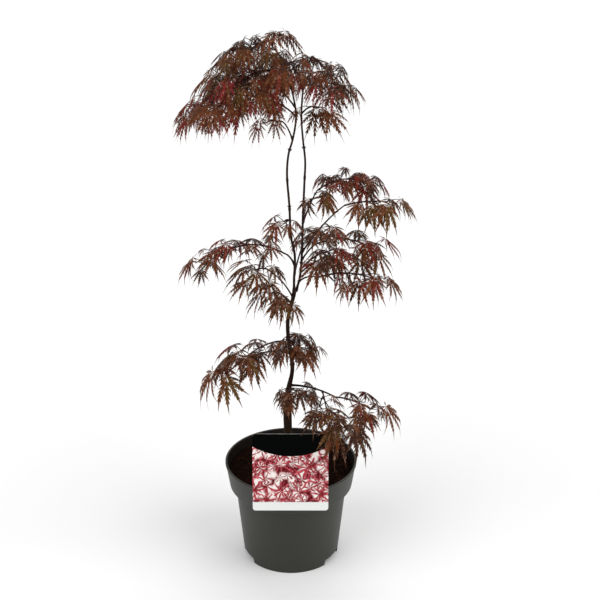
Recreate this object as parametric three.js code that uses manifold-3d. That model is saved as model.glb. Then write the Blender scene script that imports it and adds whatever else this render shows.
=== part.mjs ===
// A young laceleaf Japanese maple in a plastic nursery pot. A grafted trunk forks into two
// slender leaders, and weeping layers of finely cut red-brown leaves hang from its boughs.
// Millimetres, +Z up. The origin is the middle of the pot's flat underside, and the side
// with the pot's label faces -Y.
import * as THREE from 'three';
import { mergeVertices } from 'three/addons/utils/BufferGeometryUtils.js';
import Module from 'manifold-3d';

const wasm = await Module();
wasm.setup();

// ---------------------------------------------------------------- driving dimensions

const GAP = 0.3; // between neighbouring solids

const POT = {
  height: 150, rimRadius: 95, lip: 3, wall: 2, floor: 3, sides: 32,
  bandDrop: 37, bandRadius: 89, ledgeDrop: 3, shoulderRadius: 80.5, baseRadius: 69,
  slot: { height: 9, depth: 9, width: 40, angles: [22, 158, 202, 332] }, // drainage, degrees from +X
};

const SOIL = { top: 136, mound: 1.6, footRadius: 16, edgeDrop: 2, cutBack: 11 };

const LABEL = {
  width: 105, height: 112, thickness: 0.9, corner: 4, cornerSteps: 3,
  lean: 10, rimShare: 0.22, // lean in degrees, and how far up the card the pot's rim crosses it
  tab: { width: 16, thickness: 0.9, reach: 6.5, leg: 12 },
};

// Limb centrelines run through these points, and each radius follows the height or the length.
const TRUNK = {
  sides: 9, steps: 22,
  path: [[-4, 0, 136.3], [-4, 0, 180], [-5, 0, 232], [-6, -1, 250], [-2, -2, 271], [2, -1, 291],
    [2, 0, 307], [-2, 1, 332], [-4, 2, 360], [-3, 2, 376], [3, 0, 402], [6, 0, 417]],
  // [height above the soil, radius]: root flare, stock, graft union, then the slim scion
  radii: [[0, 9.5], [4, 7.4], [12, 6.2], [60, 5.7], [92, 6.0], [104, 5.0], [116, 3.4], [136, 3.5],
    [150, 2.9], [262, 2.6], [274, 3.0], [281, 2.7]],
};

const LEADERS = [
  { name: 'leader_left', radii: [2.1, 1.2],
    path: [[5, -1, 414], [5, -3, 432], [6, -4, 470], [1, -4, 496], [-1, -5, 540], [-4, -5, 585],
      [-2, -5, 612], [4, -4, 634], [8, -4, 664], [4, -4, 692], [-8, -2, 735], [-28, -2, 762]] },
  { name: 'leader_right', radii: [2.0, 1.2],
    path: [[7.5, 1, 414], [13, 4, 434], [16, 5, 474], [17, 5, 520], [19, 5, 569], [20, 5, 600],
      [17, 5, 630], [15, 5, 660], [17, 5, 695], [21, 3, 720], [28, 1, 741]] },
];

// A bough leaves a limb's centreline at foot, which is a height or a share of its length, and
// arches by lift on its way to tip.
const BOUGHS = [
  { name: 'bough_low_right', on: 'trunk', foot: 271, tip: [62, -38, 271],
    lift: 5, radii: [1.9, 1.2] },
  { name: 'bough_low_front', on: 'bough_low_right', foot: 0.72, tip: [50, -60, 261],
    lift: 3, radii: [1.3, 1.0] },
  { name: 'bough_low_left', on: 'trunk', foot: 318, tip: [-16, -12, 329],
    lift: 2, radii: [1.7, 1.2] },
  { name: 'bough_low_left_back', on: 'trunk', foot: 333, tip: [-24, 16, 330],
    lift: 3, radii: [1.5, 1.1] },
  { name: 'bough_mid_left', on: 'leader_left', foot: 455, tip: [-7, 5, 468],
    lift: 3, radii: [1.6, 1.2] },
  { name: 'bough_mid_left_low', on: 'trunk', foot: 405, tip: [-22, -24, 450],
    lift: 4, radii: [1.4, 1.0] },
  { name: 'bough_mid_right_top', on: 'leader_right', foot: 512, tip: [36, 18, 554],
    lift: 3, radii: [1.5, 1.0] },
  { name: 'bough_mid_right_long', on: 'leader_right', foot: 470, tip: [72, -16, 545],
    lift: 6, radii: [1.6, 1.0] },
  { name: 'bough_mid_right', on: 'leader_right', foot: 458, tip: [46, -6, 490],
    lift: 7, radii: [1.5, 1.0] },
  { name: 'bough_mid_right_low', on: 'leader_right', foot: 428, tip: [37, -24, 445],
    lift: 4, radii: [1.5, 1.0] },
  { name: 'bough_mid_back', on: 'leader_left', foot: 440, tip: [22, 44, 474],
    lift: 8, radii: [1.4, 1.0] },
  { name: 'bough_top_left', on: 'leader_left', foot: 724, tip: [-56, -4, 712],
    lift: 6, radii: [1.3, 0.9] },
  { name: 'bough_top_left_front', on: 'leader_left', foot: 676, tip: [-30, -26, 712],
    lift: 6, radii: [1.3, 0.9] },
  { name: 'bough_top_left_back', on: 'leader_left', foot: 700, tip: [-32, 30, 716],
    lift: 6, radii: [1.2, 0.9] },
  { name: 'bough_top_arch', on: 'leader_left', foot: 632, tip: [-16, -16, 660],
    lift: 9, radii: [1.3, 0.9] },
  { name: 'bough_top_right_back', on: 'leader_right', foot: 702, tip: [38, 28, 714],
    lift: 6, radii: [1.2, 0.9] },
  { name: 'bough_top_front', on: 'leader_right', foot: 694, tip: [3, -32, 738],
    lift: 5, radii: [1.2, 0.9] },
  { name: 'bough_top_back', on: 'leader_left', foot: 712, tip: [6, 38, 722],
    lift: 3, radii: [1.2, 0.9] },
];

// A mass of foliage grows on from the tip of a bough, or from a limb's side where it has a foot.
// Its stem arches by lift to reach, and carries nodes with a pair of leaves each, of which the
// sprigs lowest ones bear a side twig in place of one leaf. Leaves slope down by pitch degrees.
const MASSES = [
  { name: 'mass_low_right', on: 'bough_low_right', reach: [111, -52, 259], lift: 4,
    nodes: 3, sprigs: 0, pitch: 46, size: 0.98 },
  { name: 'mass_low_right_inner', on: 'bough_low_front', foot: 0.35, reach: [40, -62, 268], lift: 4,
    nodes: 2, sprigs: 0, pitch: 40, size: 0.9 },
  { name: 'mass_low_front', on: 'bough_low_front', reach: [76, -86, 246], lift: 8,
    nodes: 4, sprigs: 0, pitch: 52, size: 1.15 },
  { name: 'mass_low_stem', on: 'trunk', foot: 338, reach: [12, -26, 342], lift: 5,
    nodes: 3, sprigs: 0, pitch: 50, size: 0.85 },
  { name: 'mass_low_foot', on: 'trunk', foot: 262, reach: [6, -24, 274], lift: 4,
    nodes: 2, sprigs: 0, pitch: 46, size: 0.9 },
  { name: 'mass_low_back', on: 'trunk', foot: 300, reach: [6, 42, 320], lift: 8,
    nodes: 1, sprigs: 0, pitch: 45, size: 0.9 },
  { name: 'mass_low_left', on: 'bough_low_left', reach: [-90, -36, 305], lift: 10,
    nodes: 2, sprigs: 0, pitch: 55, size: 1.2 },
  { name: 'mass_low_left_back', on: 'bough_low_left_back', reach: [-64, 28, 301], lift: 3,
    nodes: 2, sprigs: 0, pitch: 36, size: 1.1 },
  { name: 'mass_mid_left_foot', on: 'trunk', foot: 396, reach: [-26, -28, 424], lift: 6,
    nodes: 2, sprigs: 0, pitch: 50, size: 0.9 },
  { name: 'mass_mid_left_low', on: 'bough_mid_left_low', reach: [-46, -38, 462], lift: 5,
    nodes: 2, sprigs: 0, pitch: 34, size: 0.95 },
  { name: 'mass_mid_left', on: 'bough_mid_left', reach: [-118, 16, 447], lift: 21,
    nodes: 5, sprigs: 0, pitch: 42, size: 1.0 },
  { name: 'mass_mid_left_top', on: 'leader_left', foot: 518, reach: [-8, -13, 521], lift: 3,
    nodes: 1, sprigs: 0, pitch: 56, size: 0.86 },
  { name: 'mass_mid_right_top', on: 'bough_mid_right_top', reach: [99, 32, 561], lift: 10,
    nodes: 4, sprigs: 0, pitch: 55, size: 0.88 },
  { name: 'mass_mid_right_inner', on: 'leader_right', foot: 534, reach: [38, -14, 555], lift: 4,
    nodes: 2, sprigs: 0, pitch: 62, size: 0.8 },
  { name: 'mass_mid_right_long', on: 'bough_mid_right_long', reach: [128, -24, 553], lift: 3,
    nodes: 3, sprigs: 0, pitch: 52, size: 0.9 },
  { name: 'mass_mid_right_near', on: 'bough_mid_right_long', foot: 0.45, reach: [52, -42, 524], lift: 5,
    nodes: 1, sprigs: 0, pitch: 32, size: 0.9 },
  { name: 'mass_mid_right', on: 'bough_mid_right', reach: [110, 6, 476], lift: 8,
    nodes: 3, sprigs: 0, pitch: 36, size: 0.98 },
  { name: 'mass_mid_right_low', on: 'bough_mid_right_low', reach: [114, -58, 456], lift: 8,
    nodes: 4, sprigs: 0, pitch: 54, size: 0.95 },
  { name: 'mass_mid_right_back', on: 'leader_right', foot: 440, reach: [90, 34, 448], lift: 14,
    nodes: 2, sprigs: 0, pitch: 45, size: 0.95 },
  { name: 'mass_mid_back', on: 'bough_mid_back', reach: [36, 76, 458], lift: 6,
    nodes: 2, sprigs: 0, pitch: 45, size: 0.95 },
  { name: 'mass_mid_front', on: 'leader_right', foot: 445, reach: [50, -33, 486], lift: 5,
    nodes: 2, sprigs: 0, pitch: 46, size: 0.9 },
  { name: 'mass_top_left', on: 'leader_left', reach: [-82, 5, 708], lift: 9,
    nodes: 4, sprigs: 0, pitch: 52, size: 1.05 },
  { name: 'mass_top_left_outer', on: 'bough_top_left', reach: [-114, -8, 671], lift: 6,
    nodes: 4, sprigs: 0, pitch: 58, size: 1.05 },
  { name: 'mass_top_left_front', on: 'bough_top_left_front', reach: [-92, -54, 688], lift: 12,
    nodes: 4, sprigs: 0, pitch: 60, size: 1.08 },
  { name: 'mass_top_left_back', on: 'bough_top_left_back', reach: [-84, 52, 670], lift: 10,
    nodes: 3, sprigs: 0, pitch: 55, size: 1.08 },
  { name: 'mass_top_left_under', on: 'leader_left', foot: 664, reach: [-64, 14, 668], lift: 16,
    nodes: 2, sprigs: 0, pitch: 65, size: 1.05 },
  { name: 'mass_top_mid', on: 'leader_left', foot: 706, reach: [-44, -50, 708], lift: 8,
    nodes: 3, sprigs: 0, pitch: 60, size: 1.0 },
  { name: 'mass_top_arch', on: 'bough_top_arch', reach: [-30, -26, 661], lift: 2,
    nodes: 1, sprigs: 0, pitch: 56, size: 0.78 },
  { name: 'mass_top_apex', on: 'leader_left', foot: 755, reach: [-20, -2, 769], lift: 3,
    nodes: 1, sprigs: 0, pitch: 42, size: 0.95 },
  { name: 'mass_top_right', on: 'leader_right', reach: [60, -8, 702], lift: 6,
    nodes: 3, sprigs: 0, pitch: 60, size: 0.95 },
  { name: 'mass_top_right_front', on: 'leader_right', foot: 700, reach: [46, -36, 706], lift: 6,
    nodes: 2, sprigs: 0, pitch: 60, size: 0.9 },
  { name: 'mass_top_right_low', on: 'leader_right', foot: 664, reach: [36, -22, 680], lift: 5,
    nodes: 2, sprigs: 0, pitch: 48, size: 0.95 },
  { name: 'mass_top_right_back', on: 'bough_top_right_back', reach: [48, 50, 688], lift: 8,
    nodes: 3, sprigs: 0, pitch: 58, size: 1.0 },
  { name: 'mass_top_front', on: 'bough_top_front', reach: [-7, -60, 736], lift: 4,
    nodes: 2, sprigs: 0, pitch: 62, size: 1.0 },
  { name: 'mass_top_back', on: 'bough_top_back', reach: [-10, 76, 700], lift: 8,
    nodes: 2, sprigs: 0, pitch: 55, size: 1.08 },
];

const BOUGH = { sides: 5, steps: 5 };
const LEADER = { sides: 6, steps: 14 };

// The rule by which every mass grows. Lengths in millimetres, angles in degrees.
const GROWTH = {
  seed: 20,
  stem: { radii: [1.5, 1.2] },
  sprig: { length: 32, radii: [1.25, 1.1], steps: 2, fan: [35, 65], rise: 6 },
  petiole: { length: [13, 24], radius: 0.5, fan: [35, 80], rise: [0, 34] },
  leaf: { length: 50, thickness: 1.5, halfWidth: 3.9, widest: 0.42, heart: 2.4,
    angles: [0, 27, 54, 84], lengths: [1, 0.94, 0.78, 0.5], droop: [0.18, 0.4], tilt: 14 },
  clearance: 0.9, // between a leaf and any other mass or limb
  crowding: 0.6, // share of that room which leaves of one mass leave each other
  tries: 24,
  shorter: [1, 0.8, 0.62, 0.46], // what a lobe may be cut back to where it has no room
};

const COLOURS = {
  pot: 0x3b3c39, soil: 0x1c0d08, label: 0xb88488, bark: 0x35231a, twig: 0x2a1913,
  leaves: [0x5a3527, 0x6b2a25, 0x4a3424, 0x7a2a2c],
};

// ---------------------------------------------------------------- vectors, chance and solids

const v3 = (p) => new THREE.Vector3(...p);
const UP = new THREE.Vector3(0, 0, 1);
const rad = THREE.MathUtils.degToRad;
const mix = THREE.MathUtils.lerp;
const largest = (list, size) => list.reduce((a, b) => (size(b) > size(a) ? b : a));

// Numbers from 0 to 1 that come out the same on every run.
function chance(seed) {
  let state = seed >>> 0;
  return () => {
    state = (state + 0x6d2b79f5) >>> 0;
    let t = state;
    t = Math.imul(t ^ (t >>> 15), t | 1);
    t ^= t + Math.imul(t ^ (t >>> 7), t | 61);
    return ((t ^ (t >>> 14)) >>> 0) / 4294967296;
  };
}

// A fresh run of chances for one mass, one of its buds or one try at a leaf.
const chanceFor = (...parts) => chance(parts.reduce((sum, part) => sum * 131 + part, GROWTH.seed));

const between = (next, [low, high]) => low + (high - low) * next();

function solidOf(geometry) {
  const bare = new THREE.BufferGeometry().setAttribute('position', geometry.getAttribute('position'));
  if (geometry.index) bare.setIndex(geometry.index);
  const merged = mergeVertices(bare, 1e-4);
  return new wasm.Manifold(new wasm.Mesh({
    numProp: 3,
    vertProperties: merged.attributes.position.array,
    triVerts: new Uint32Array(merged.index.array),
  }));
}

function geometryOf(solid) {
  const mesh = solid.getMesh();
  const positions = new Float32Array(mesh.numVert * 3);
  for (let i = 0; i < mesh.numVert; i++)
    positions.set(mesh.vertProperties.subarray(i * mesh.numProp, i * mesh.numProp + 3), i * 3);
  const geometry = new THREE.BufferGeometry()
    .setAttribute('position', new THREE.BufferAttribute(positions, 3))
    .setIndex(new THREE.BufferAttribute(mesh.triVerts, 1))
    .toNonIndexed();
  geometry.computeVertexNormals();
  return geometry;
}

// The one body that matters of a solid: loose scraps go, and a sealed hollow is filled.
const wholeBody = (solid) => largest(solid.decompose(), (body) => body.volume());

function indexedGeometry(points, faces) {
  return new THREE.BufferGeometry()
    .setAttribute('position', new THREE.Float32BufferAttribute(points.flatMap((p) => [p.x, p.y, p.z]), 3))
    .setIndex(faces.flat());
}

// ---------------------------------------------------------------- limbs and their distances

// A closed tube whose radius changes along a curve.
function taperedTube(curve, radiusAt, steps, sides) {
  const frames = curve.computeFrenetFrames(steps, false);
  const points = [];
  const faces = [];
  for (let i = 0; i <= steps; i++) {
    const centre = curve.getPoint(i / steps);
    const radius = radiusAt(i / steps, centre);
    for (let k = 0; k < sides; k++) {
      const angle = (2 * Math.PI * k) / sides;
      points.push(centre.clone()
        .addScaledVector(frames.normals[i], radius * Math.cos(angle))
        .addScaledVector(frames.binormals[i], radius * Math.sin(angle)));
    }
  }
  for (let i = 0; i < steps; i++)
    for (let k = 0; k < sides; k++) {
      const [a, b] = [i * sides + k, i * sides + ((k + 1) % sides)];
      faces.push([a, b, b + sides], [a, b + sides, a + sides]);
    }
  for (let k = 1; k < sides - 1; k++) {
    faces.push([0, k + 1, k]);
    faces.push([steps * sides, steps * sides + k, steps * sides + k + 1]);
  }
  return indexedGeometry(points, faces);
}

// Where a limb's centreline passes a height, or a share of its length when that is under 1.
function pointOn(limb, foot) {
  if (foot < 1) return limb.curve.getPoint(foot);
  let best = limb.line[0];
  for (let i = 1; i < limb.line.length; i++) {
    const [a, b] = [limb.line[i - 1], limb.line[i]];
    if ((a.z - foot) * (b.z - foot) <= 0) return a.clone().lerp(b, (foot - a.z) / (b.z - a.z));
    best = b;
  }
  return best.clone();
}

function arch(start, end, lift) {
  const middle = start.clone().lerp(end, 0.5).addScaledVector(UP, 2 * lift);
  return new THREE.QuadraticBezierCurve3(start, middle, end);
}

// The shortest distance between two straight segments.
function segmentDistance(a, b, c, d) {
  const [u, v, w] = [b.clone().sub(a), d.clone().sub(c), a.clone().sub(c)];
  const [uu, uv, vv, uw, vw] = [u.dot(u), u.dot(v), v.dot(v), u.dot(w), v.dot(w)];
  const flat = uu * vv - uv * uv;
  const clamp = (x) => Math.min(1, Math.max(0, x));
  let s = flat > 1e-9 ? clamp((uv * vw - vv * uw) / flat) : 0;
  const t = clamp((uv * s + vw) / vv);
  s = clamp((uv * t - uw) / uu);
  return w.addScaledVector(u, s).addScaledVector(v, -t).length();
}

// Everything that leaves must keep clear of: straight rods with a radius, each with its owner.
const rods = [];

function addRods(points, radius, owner) {
  for (let i = 1; i < points.length; i++) rods.push({ a: points[i - 1], b: points[i], radius, owner });
}

// Whether a straight rod is clear of all others, apart from those it shares an end with.
function hasRoom(a, b, radius, owner) {
  return rods.every((rod) => {
    if (Math.min(rod.a.distanceTo(a), rod.b.distanceTo(a)) < 0.01) return true;
    const needed = radius + rod.radius + GROWTH.clearance;
    return segmentDistance(a, b, rod.a, rod.b) > needed * (rod.owner === owner ? GROWTH.crowding : 1);
  });
}

// ---------------------------------------------------------------- pot, soil and label

// The pot's wall outside and inside, from the floor up, as [radius, height].
const bandFoot = POT.height - POT.bandDrop;
const OUTSIDE = [[POT.baseRadius, 0], [POT.shoulderRadius, bandFoot - POT.ledgeDrop],
  [POT.bandRadius, bandFoot], [POT.rimRadius, POT.height]];
const INSIDE = [[POT.baseRadius - POT.wall, POT.floor],
  [POT.shoulderRadius - POT.wall, bandFoot + POT.wall - POT.ledgeDrop],
  [POT.bandRadius - POT.wall, bandFoot + POT.wall], [POT.rimRadius - POT.lip, POT.height]];

// A solid of revolution about Z from a profile of [radius, height].
function turned(profile) {
  const points = profile.map(([r, z]) => new THREE.Vector2(r, z));
  return new THREE.LatheGeometry(points, POT.sides).rotateX(Math.PI / 2);
}

function makePot() {
  const { slot } = POT;
  let pot = solidOf(turned([[0, 0], ...OUTSIDE, ...INSIDE.toReversed(), [0, POT.floor]]));
  for (const angle of slot.angles) {
    const cutter = new THREE.BoxGeometry(2 * slot.depth, slot.width, 2 * slot.height)
      .translate(POT.baseRadius, 0, 0)
      .rotateZ(rad(angle));
    pot = pot.subtract(solidOf(cutter));
  }
  return pot;
}

function insideRadius(height) {
  const [low, high] = INSIDE.slice(-2);
  return mix(low[0], high[0], (height - low[1]) / (high[1] - low[1]));
}

// The potting soil: it fills the pot, is level round the trunk's foot and is cut back above the
// drainage slots.
function makeSoil() {
  const side = INSIDE.slice(0, 3).map(([r, z]) => [r - 1.5 * GAP, z + 1.5 * GAP]);
  const [[footRadius, footHeight]] = side;
  const edge = SOIL.top - SOIL.edgeDrop;
  return solidOf(turned([
    [0, footHeight], [footRadius - SOIL.cutBack, footHeight], [footRadius, footHeight + SOIL.cutBack],
    ...side.slice(1), [insideRadius(edge) - 1.5 * GAP, edge],
    [(insideRadius(edge) + SOIL.footRadius) / 2, SOIL.top + SOIL.mound], [SOIL.footRadius, SOIL.top],
    [0, SOIL.top],
  ]));
}

function roundedCard() {
  const { width, height, corner, cornerSteps, thickness } = LABEL;
  const outline = new THREE.Shape();
  const [x, y] = [width / 2 - corner, height - corner];
  outline.absarc(x, corner, corner, -Math.PI / 2, 0);
  outline.absarc(x, y, corner, 0, Math.PI / 2);
  outline.absarc(-x, y, corner, Math.PI / 2, Math.PI);
  outline.absarc(-x, corner, corner, Math.PI, 1.5 * Math.PI);
  const shape = { depth: thickness, bevelEnabled: false, curveSegments: cornerSteps };
  return new THREE.ExtrudeGeometry(outline, shape);
}

// The printed card leans on the rim and hooks over it with a folded tab. It is drawn upright on
// the XZ plane with the rim's crossing at the origin and its back at y = 0, then leaned.
function makeLabel() {
  const { tab, lean, rimShare, height } = LABEL;
  const card = roundedCard().translate(0, -rimShare * height, 0).rotateX(Math.PI / 2);
  const roof = 2 * GAP + tab.thickness;
  const hook = new THREE.Shape([
    [-LABEL.thickness / 2, 2 * GAP], [tab.reach, 2 * GAP], [tab.reach, -tab.leg],
    [tab.reach + tab.thickness, -tab.leg], [tab.reach + tab.thickness, roof], [-LABEL.thickness / 2, roof],
  ].map(([y, z]) => new THREE.Vector2(y, z)));
  const strip = new THREE.ExtrudeGeometry(hook, { depth: tab.width, bevelEnabled: false })
    .applyMatrix4(new THREE.Matrix4().makeBasis(v3([0, 1, 0]), v3([0, 0, 1]), v3([1, 0, 0])))
    .translate(-tab.width / 2, 0, 0);
  const place = (geometry) => geometry.translate(0, -POT.rimRadius - GAP, POT.height);
  return solidOf(place(card.rotateX(rad(-lean)))).add(solidOf(place(strip)));
}

// Level rods across the card above the rim, which keep the leaves off it.
function addLabelRods() {
  const { width, height, rimShare, lean } = LABEL;
  const above = (1 - rimShare) * height;
  for (let along = 0; along <= above; along += above / 6) {
    const [y, z] = [along * Math.sin(rad(lean)) - POT.rimRadius, POT.height + along * Math.cos(rad(lean))];
    addRods([v3([-width / 2, y, z]), v3([width / 2, y, z])], 5, 'plant_label');
  }
}

// ---------------------------------------------------------------- trunk, leaders and boughs

const limbs = new Map();

function radiusByHeight(table) {
  return (share, point) => {
    const above = point.z - SOIL.top;
    const k = Math.max(1, table.findIndex(([h]) => h >= above));
    const [[h0, r0], [h1, r1]] = [table[k - 1], table[k]];
    return mix(r0, r1, Math.min(1, Math.max(0, (above - h0) / (h1 - h0))));
  };
}

// A limb is cut clear of the limbs that it grows from or beside.
function addLimb(name, curve, radiusAt, steps, sides) {
  const tube = (spare) => solidOf(taperedTube(curve, (s, p) => radiusAt(s, p) + spare, steps, sides));
  let solid = tube(0);
  for (const other of limbs.values())
    if (solid.intersect(other.fat).volume() > 0) solid = wholeBody(solid.subtract(other.fat));
  const line = curve.getPoints(steps);
  limbs.set(name, { name, curve, line, solid, fat: tube(GAP), endRadius: radiusAt(1, line.at(-1)) });
  line.slice(1).forEach((p, i) => addRods([line[i], p], radiusAt(i / steps, line[i]), name));
}

function growLimbs() {
  const through = (path) => new THREE.CatmullRomCurve3(path.map(v3));
  addLimb('trunk', through(TRUNK.path), radiusByHeight(TRUNK.radii), TRUNK.steps, TRUNK.sides);
  for (const { name, path, radii } of LEADERS)
    addLimb(name, through(path), (s) => mix(...radii, s), LEADER.steps, LEADER.sides);
  for (const { name, on, foot, tip, lift, radii } of BOUGHS) {
    const curve = arch(pointOn(limbs.get(on), foot), v3(tip), lift);
    addLimb(name, curve, (s) => mix(...radii, s), BOUGH.steps, BOUGH.sides);
  }
}

// ---------------------------------------------------------------- masses of foliage

const heading = (v) => Math.atan2(v.y, v.x);

function direction(azimuth, elevation) {
  const level = Math.cos(elevation);
  return new THREE.Vector3(level * Math.cos(azimuth), level * Math.sin(azimuth), Math.sin(elevation));
}

// The stem of a mass and its side twigs, before any leaf is placed.
function planMass(spec, index) {
  const limb = limbs.get(spec.on);
  const next = chanceFor(index);
  const fromTip = spec.foot === undefined;
  const forward = limb.curve.getTangent(1);
  const start = fromTip ? limb.line.at(-1).clone().addScaledVector(forward, GAP) : pointOn(limb, spec.foot);
  const stem = arch(start, v3(spec.reach), spec.lift);
  const twigs = [{ curve: stem, steps: spec.nodes, ...GROWTH.stem }];
  const mass = { ...spec, index, next, limb, twigs, buds: [], leaves: [] };
  for (let k = spec.nodes - 1; k >= 0; k--) {
    const share = (k + 1) / spec.nodes;
    const node = stem.getPoint(share);
    const ahead = heading(stem.getTangent(share));
    if (share === 1) mass.buds.push({ node, azimuth: ahead, spread: 0.2 });
    for (const side of [-1, 1]) {
      const bearsTwig = share < 1 && k < spec.sprigs && (k % 2 ? side > 0 : side < 0);
      if (bearsTwig) growSprig(mass, node, ahead, side);
      else {
        const turn = side * rad(between(next, GROWTH.petiole.fan));
        mass.buds.push({ node, azimuth: ahead + turn, spread: 1 });
      }
    }
  }
  mass.twigs.forEach((twig) => addRods(twig.curve.getPoints(twig.steps), twig.radii[0], mass.name));
  return mass;
}

function growSprig(mass, node, ahead, side) {
  const { sprig } = GROWTH;
  const azimuth = ahead + side * rad(between(mass.next, sprig.fan));
  const length = sprig.length * mix(0.8, 1.15, mass.next());
  const end = node.clone().addScaledVector(direction(azimuth, 0), length);
  if (!hasRoom(node, end, sprig.radii[0], mass.name)) return;
  mass.twigs.push({ curve: arch(node, end, sprig.rise), ...sprig });
  for (const turn of [-0.8, 0, 0.8])
    mass.buds.push({ node: end, azimuth: azimuth + turn, spread: 0.3 });
  const halfway = node.clone().lerp(end, 0.5).addScaledVector(UP, sprig.rise);
  mass.buds.push({ node: halfway, azimuth: azimuth + side, spread: 1 });
}

// The directions and lengths of a leaf's lobes, from one side round to the other.
function lobesOf(azimuth, pitch, roll, size) {
  const { leaf } = GROWTH;
  const axis = direction(azimuth, -pitch);
  const across = new THREE.Vector3(-Math.sin(azimuth), Math.cos(azimuth), 0).applyAxisAngle(axis, roll);
  const lobes = [];
  for (let i = 1 - leaf.angles.length; i < leaf.angles.length; i++) {
    const angle = Math.sign(i) * rad(leaf.angles[Math.abs(i)]);
    const droop = mix(...leaf.droop, Math.abs(Math.sin(angle)));
    const way = axis.clone().multiplyScalar(Math.cos(angle))
      .addScaledVector(across, Math.sin(angle)).addScaledVector(UP, -droop).normalize();
    lobes.push({ way, length: leaf.length * size * leaf.lengths[Math.abs(i)] });
  }
  return { axis, across, face: axis.clone().cross(across).normalize(), lobes };
}

// One try at a leaf on its stalk. It gives nothing where the leaf would have no room.
function tryLeaf(mass, bud, attempt) {
  const { petiole, leaf } = GROWTH;
  const next = chanceFor(mass.index, mass.buds.indexOf(bud), attempt);
  const azimuth = bud.azimuth + (next() - 0.5) * (bud.spread + 0.15 * attempt);
  const stalkLength = between(next, petiole.length) * mass.size;
  const stalkWay = direction(azimuth, rad(between(next, petiole.rise)));
  const heart = bud.node.clone().addScaledVector(stalkWay, stalkLength);
  const pitch = rad(mass.pitch + (next() - 0.5) * 2 * leaf.tilt);
  const roll = rad((next() - 0.5) * 2 * leaf.tilt);
  const size = mass.size * mix(0.85, 1.1, next()) * (1 - 0.02 * attempt);
  const made = lobesOf(azimuth, pitch, roll, size);
  if (!hasRoom(bud.node, heart, petiole.radius, mass.name)) return null;
  let cutBack = 0;
  for (const lobe of made.lobes) {
    const fits = GROWTH.shorter.find((share) => hasRoom(heart,
      heart.clone().addScaledVector(lobe.way, lobe.length * share), leaf.halfWidth * 0.7, mass.name));
    if (!fits) return null;
    if (fits < 0.7) cutBack++;
    lobe.length *= fits;
  }
  return cutBack > 3 ? null : { ...made, heart, node: bud.node, stalkWay };
}

// Leaves are dealt out to the masses in turn, so that each keeps the space it has taken.
function placeLeaves(masses) {
  const rounds = Math.max(...masses.map((mass) => mass.buds.length));
  for (let round = 0; round < rounds; round++)
    for (const mass of masses) {
      const bud = mass.buds[round];
      if (!bud) continue;
      let leaf = null;
      for (let attempt = 0; attempt < GROWTH.tries && !leaf; attempt++)
        leaf = tryLeaf(mass, bud, attempt);
      if (!leaf) continue;
      mass.leaves.push(leaf);
      addRods([leaf.node, leaf.heart], GROWTH.petiole.radius, mass.name);
      for (const lobe of leaf.lobes)
        addRods([leaf.heart, leaf.heart.clone().addScaledVector(lobe.way, lobe.length)],
          GROWTH.leaf.halfWidth * 0.7, mass.name);
    }
}

// The outline of a blade, round from one side of its stalk to the other: a star of pointed
// lobes, of which all but the outer two are widest at under half their length.
function rimOf({ heart, axis, face, lobes }) {
  const { leaf } = GROWTH;
  const back = axis.clone().negate();
  const at = (way, distance) => heart.clone().addScaledVector(way, distance);
  const notch = (a, b) => at(a.clone().add(b).normalize(), leaf.heart);
  const rim = lobes.flatMap(({ way, length }, i) => {
    const sideways = face.clone().cross(way).normalize();
    const beside = [lobes[i - 1], lobes[i + 1]].filter(Boolean);
    const room = Math.min(...beside.map((other) => other.way.angleTo(way)));
    const half = Math.min(leaf.halfWidth, 0.42 * room * leaf.widest * length);
    const middle = at(way, leaf.widest * length);
    const [first, last] = [-half, half].map((k) => middle.clone().addScaledVector(sideways, k));
    const root = notch(i ? lobes[i - 1].way : back, way);
    return i % (lobes.length - 1) ? [root, first, at(way, length), last] : [root, at(way, length)];
  });
  return [...rim, notch(lobes.at(-1).way, back)];
}

// A leaf: a blade that is thickest at its heart, on a three-sided stalk from its bud.
function leafSolid(made) {
  const { heart, node, stalkWay, across, face } = made;
  const { leaf, petiole } = GROWTH;
  const rim = rimOf(made);
  const side = across.clone().addScaledVector(stalkWay, -across.dot(stalkWay)).normalize();
  const over = stalkWay.clone().cross(side);
  const foot = (x, y) => node.clone()
    .addScaledVector(side, petiole.radius * x).addScaledVector(over, petiole.radius * y);
  const [top, under] = [0.5, -0.5].map((k) => heart.clone().addScaledVector(face, k * leaf.thickness));
  const points = [...rim, top, under, foot(-0.87, 0.5), foot(0.87, 0.5), foot(0, -1)];
  const n = rim.length;
  const [T, U, L, R, D] = [n, n + 1, n + 2, n + 3, n + 4];
  const faces = [[T, n - 1, 0], [0, n - 1, R], [0, R, L], [n - 1, U, D], [n - 1, D, R],
    [U, 0, L], [U, L, D], [L, R, D]];
  for (let i = 0; i < n - 1; i++) faces.push([T, i, i + 1], [U, i + 1, i]);
  return solidOf(indexedGeometry(points, faces));
}

// Twigs, stalks and blades of a mass joined into one body, cut clear of the limb it grows from.
function fuseMass(mass) {
  const twigs = mass.twigs.map(({ curve, radii, steps }) =>
    solidOf(taperedTube(curve, (s) => mix(...radii, s), steps, 3)));
  const solid = wasm.Manifold.union([...twigs, ...mass.leaves.map(leafSolid)]);
  return wholeBody(solid.subtract(mass.limb.fat)).simplify(0.1);
}

// ---------------------------------------------------------------- the potted tree

const tree = new THREE.Group();
tree.name = 'potted_laceleaf_maple';

function addMesh(name, solid, color, roughness) {
  const material = new THREE.MeshStandardMaterial({ color, roughness, metalness: 0 });
  const mesh = new THREE.Mesh(geometryOf(solid), material);
  mesh.name = name;
  tree.add(mesh);
}

growLimbs();
addLabelRods();
const masses = MASSES.map(planMass);
placeLeaves(masses);

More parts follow.
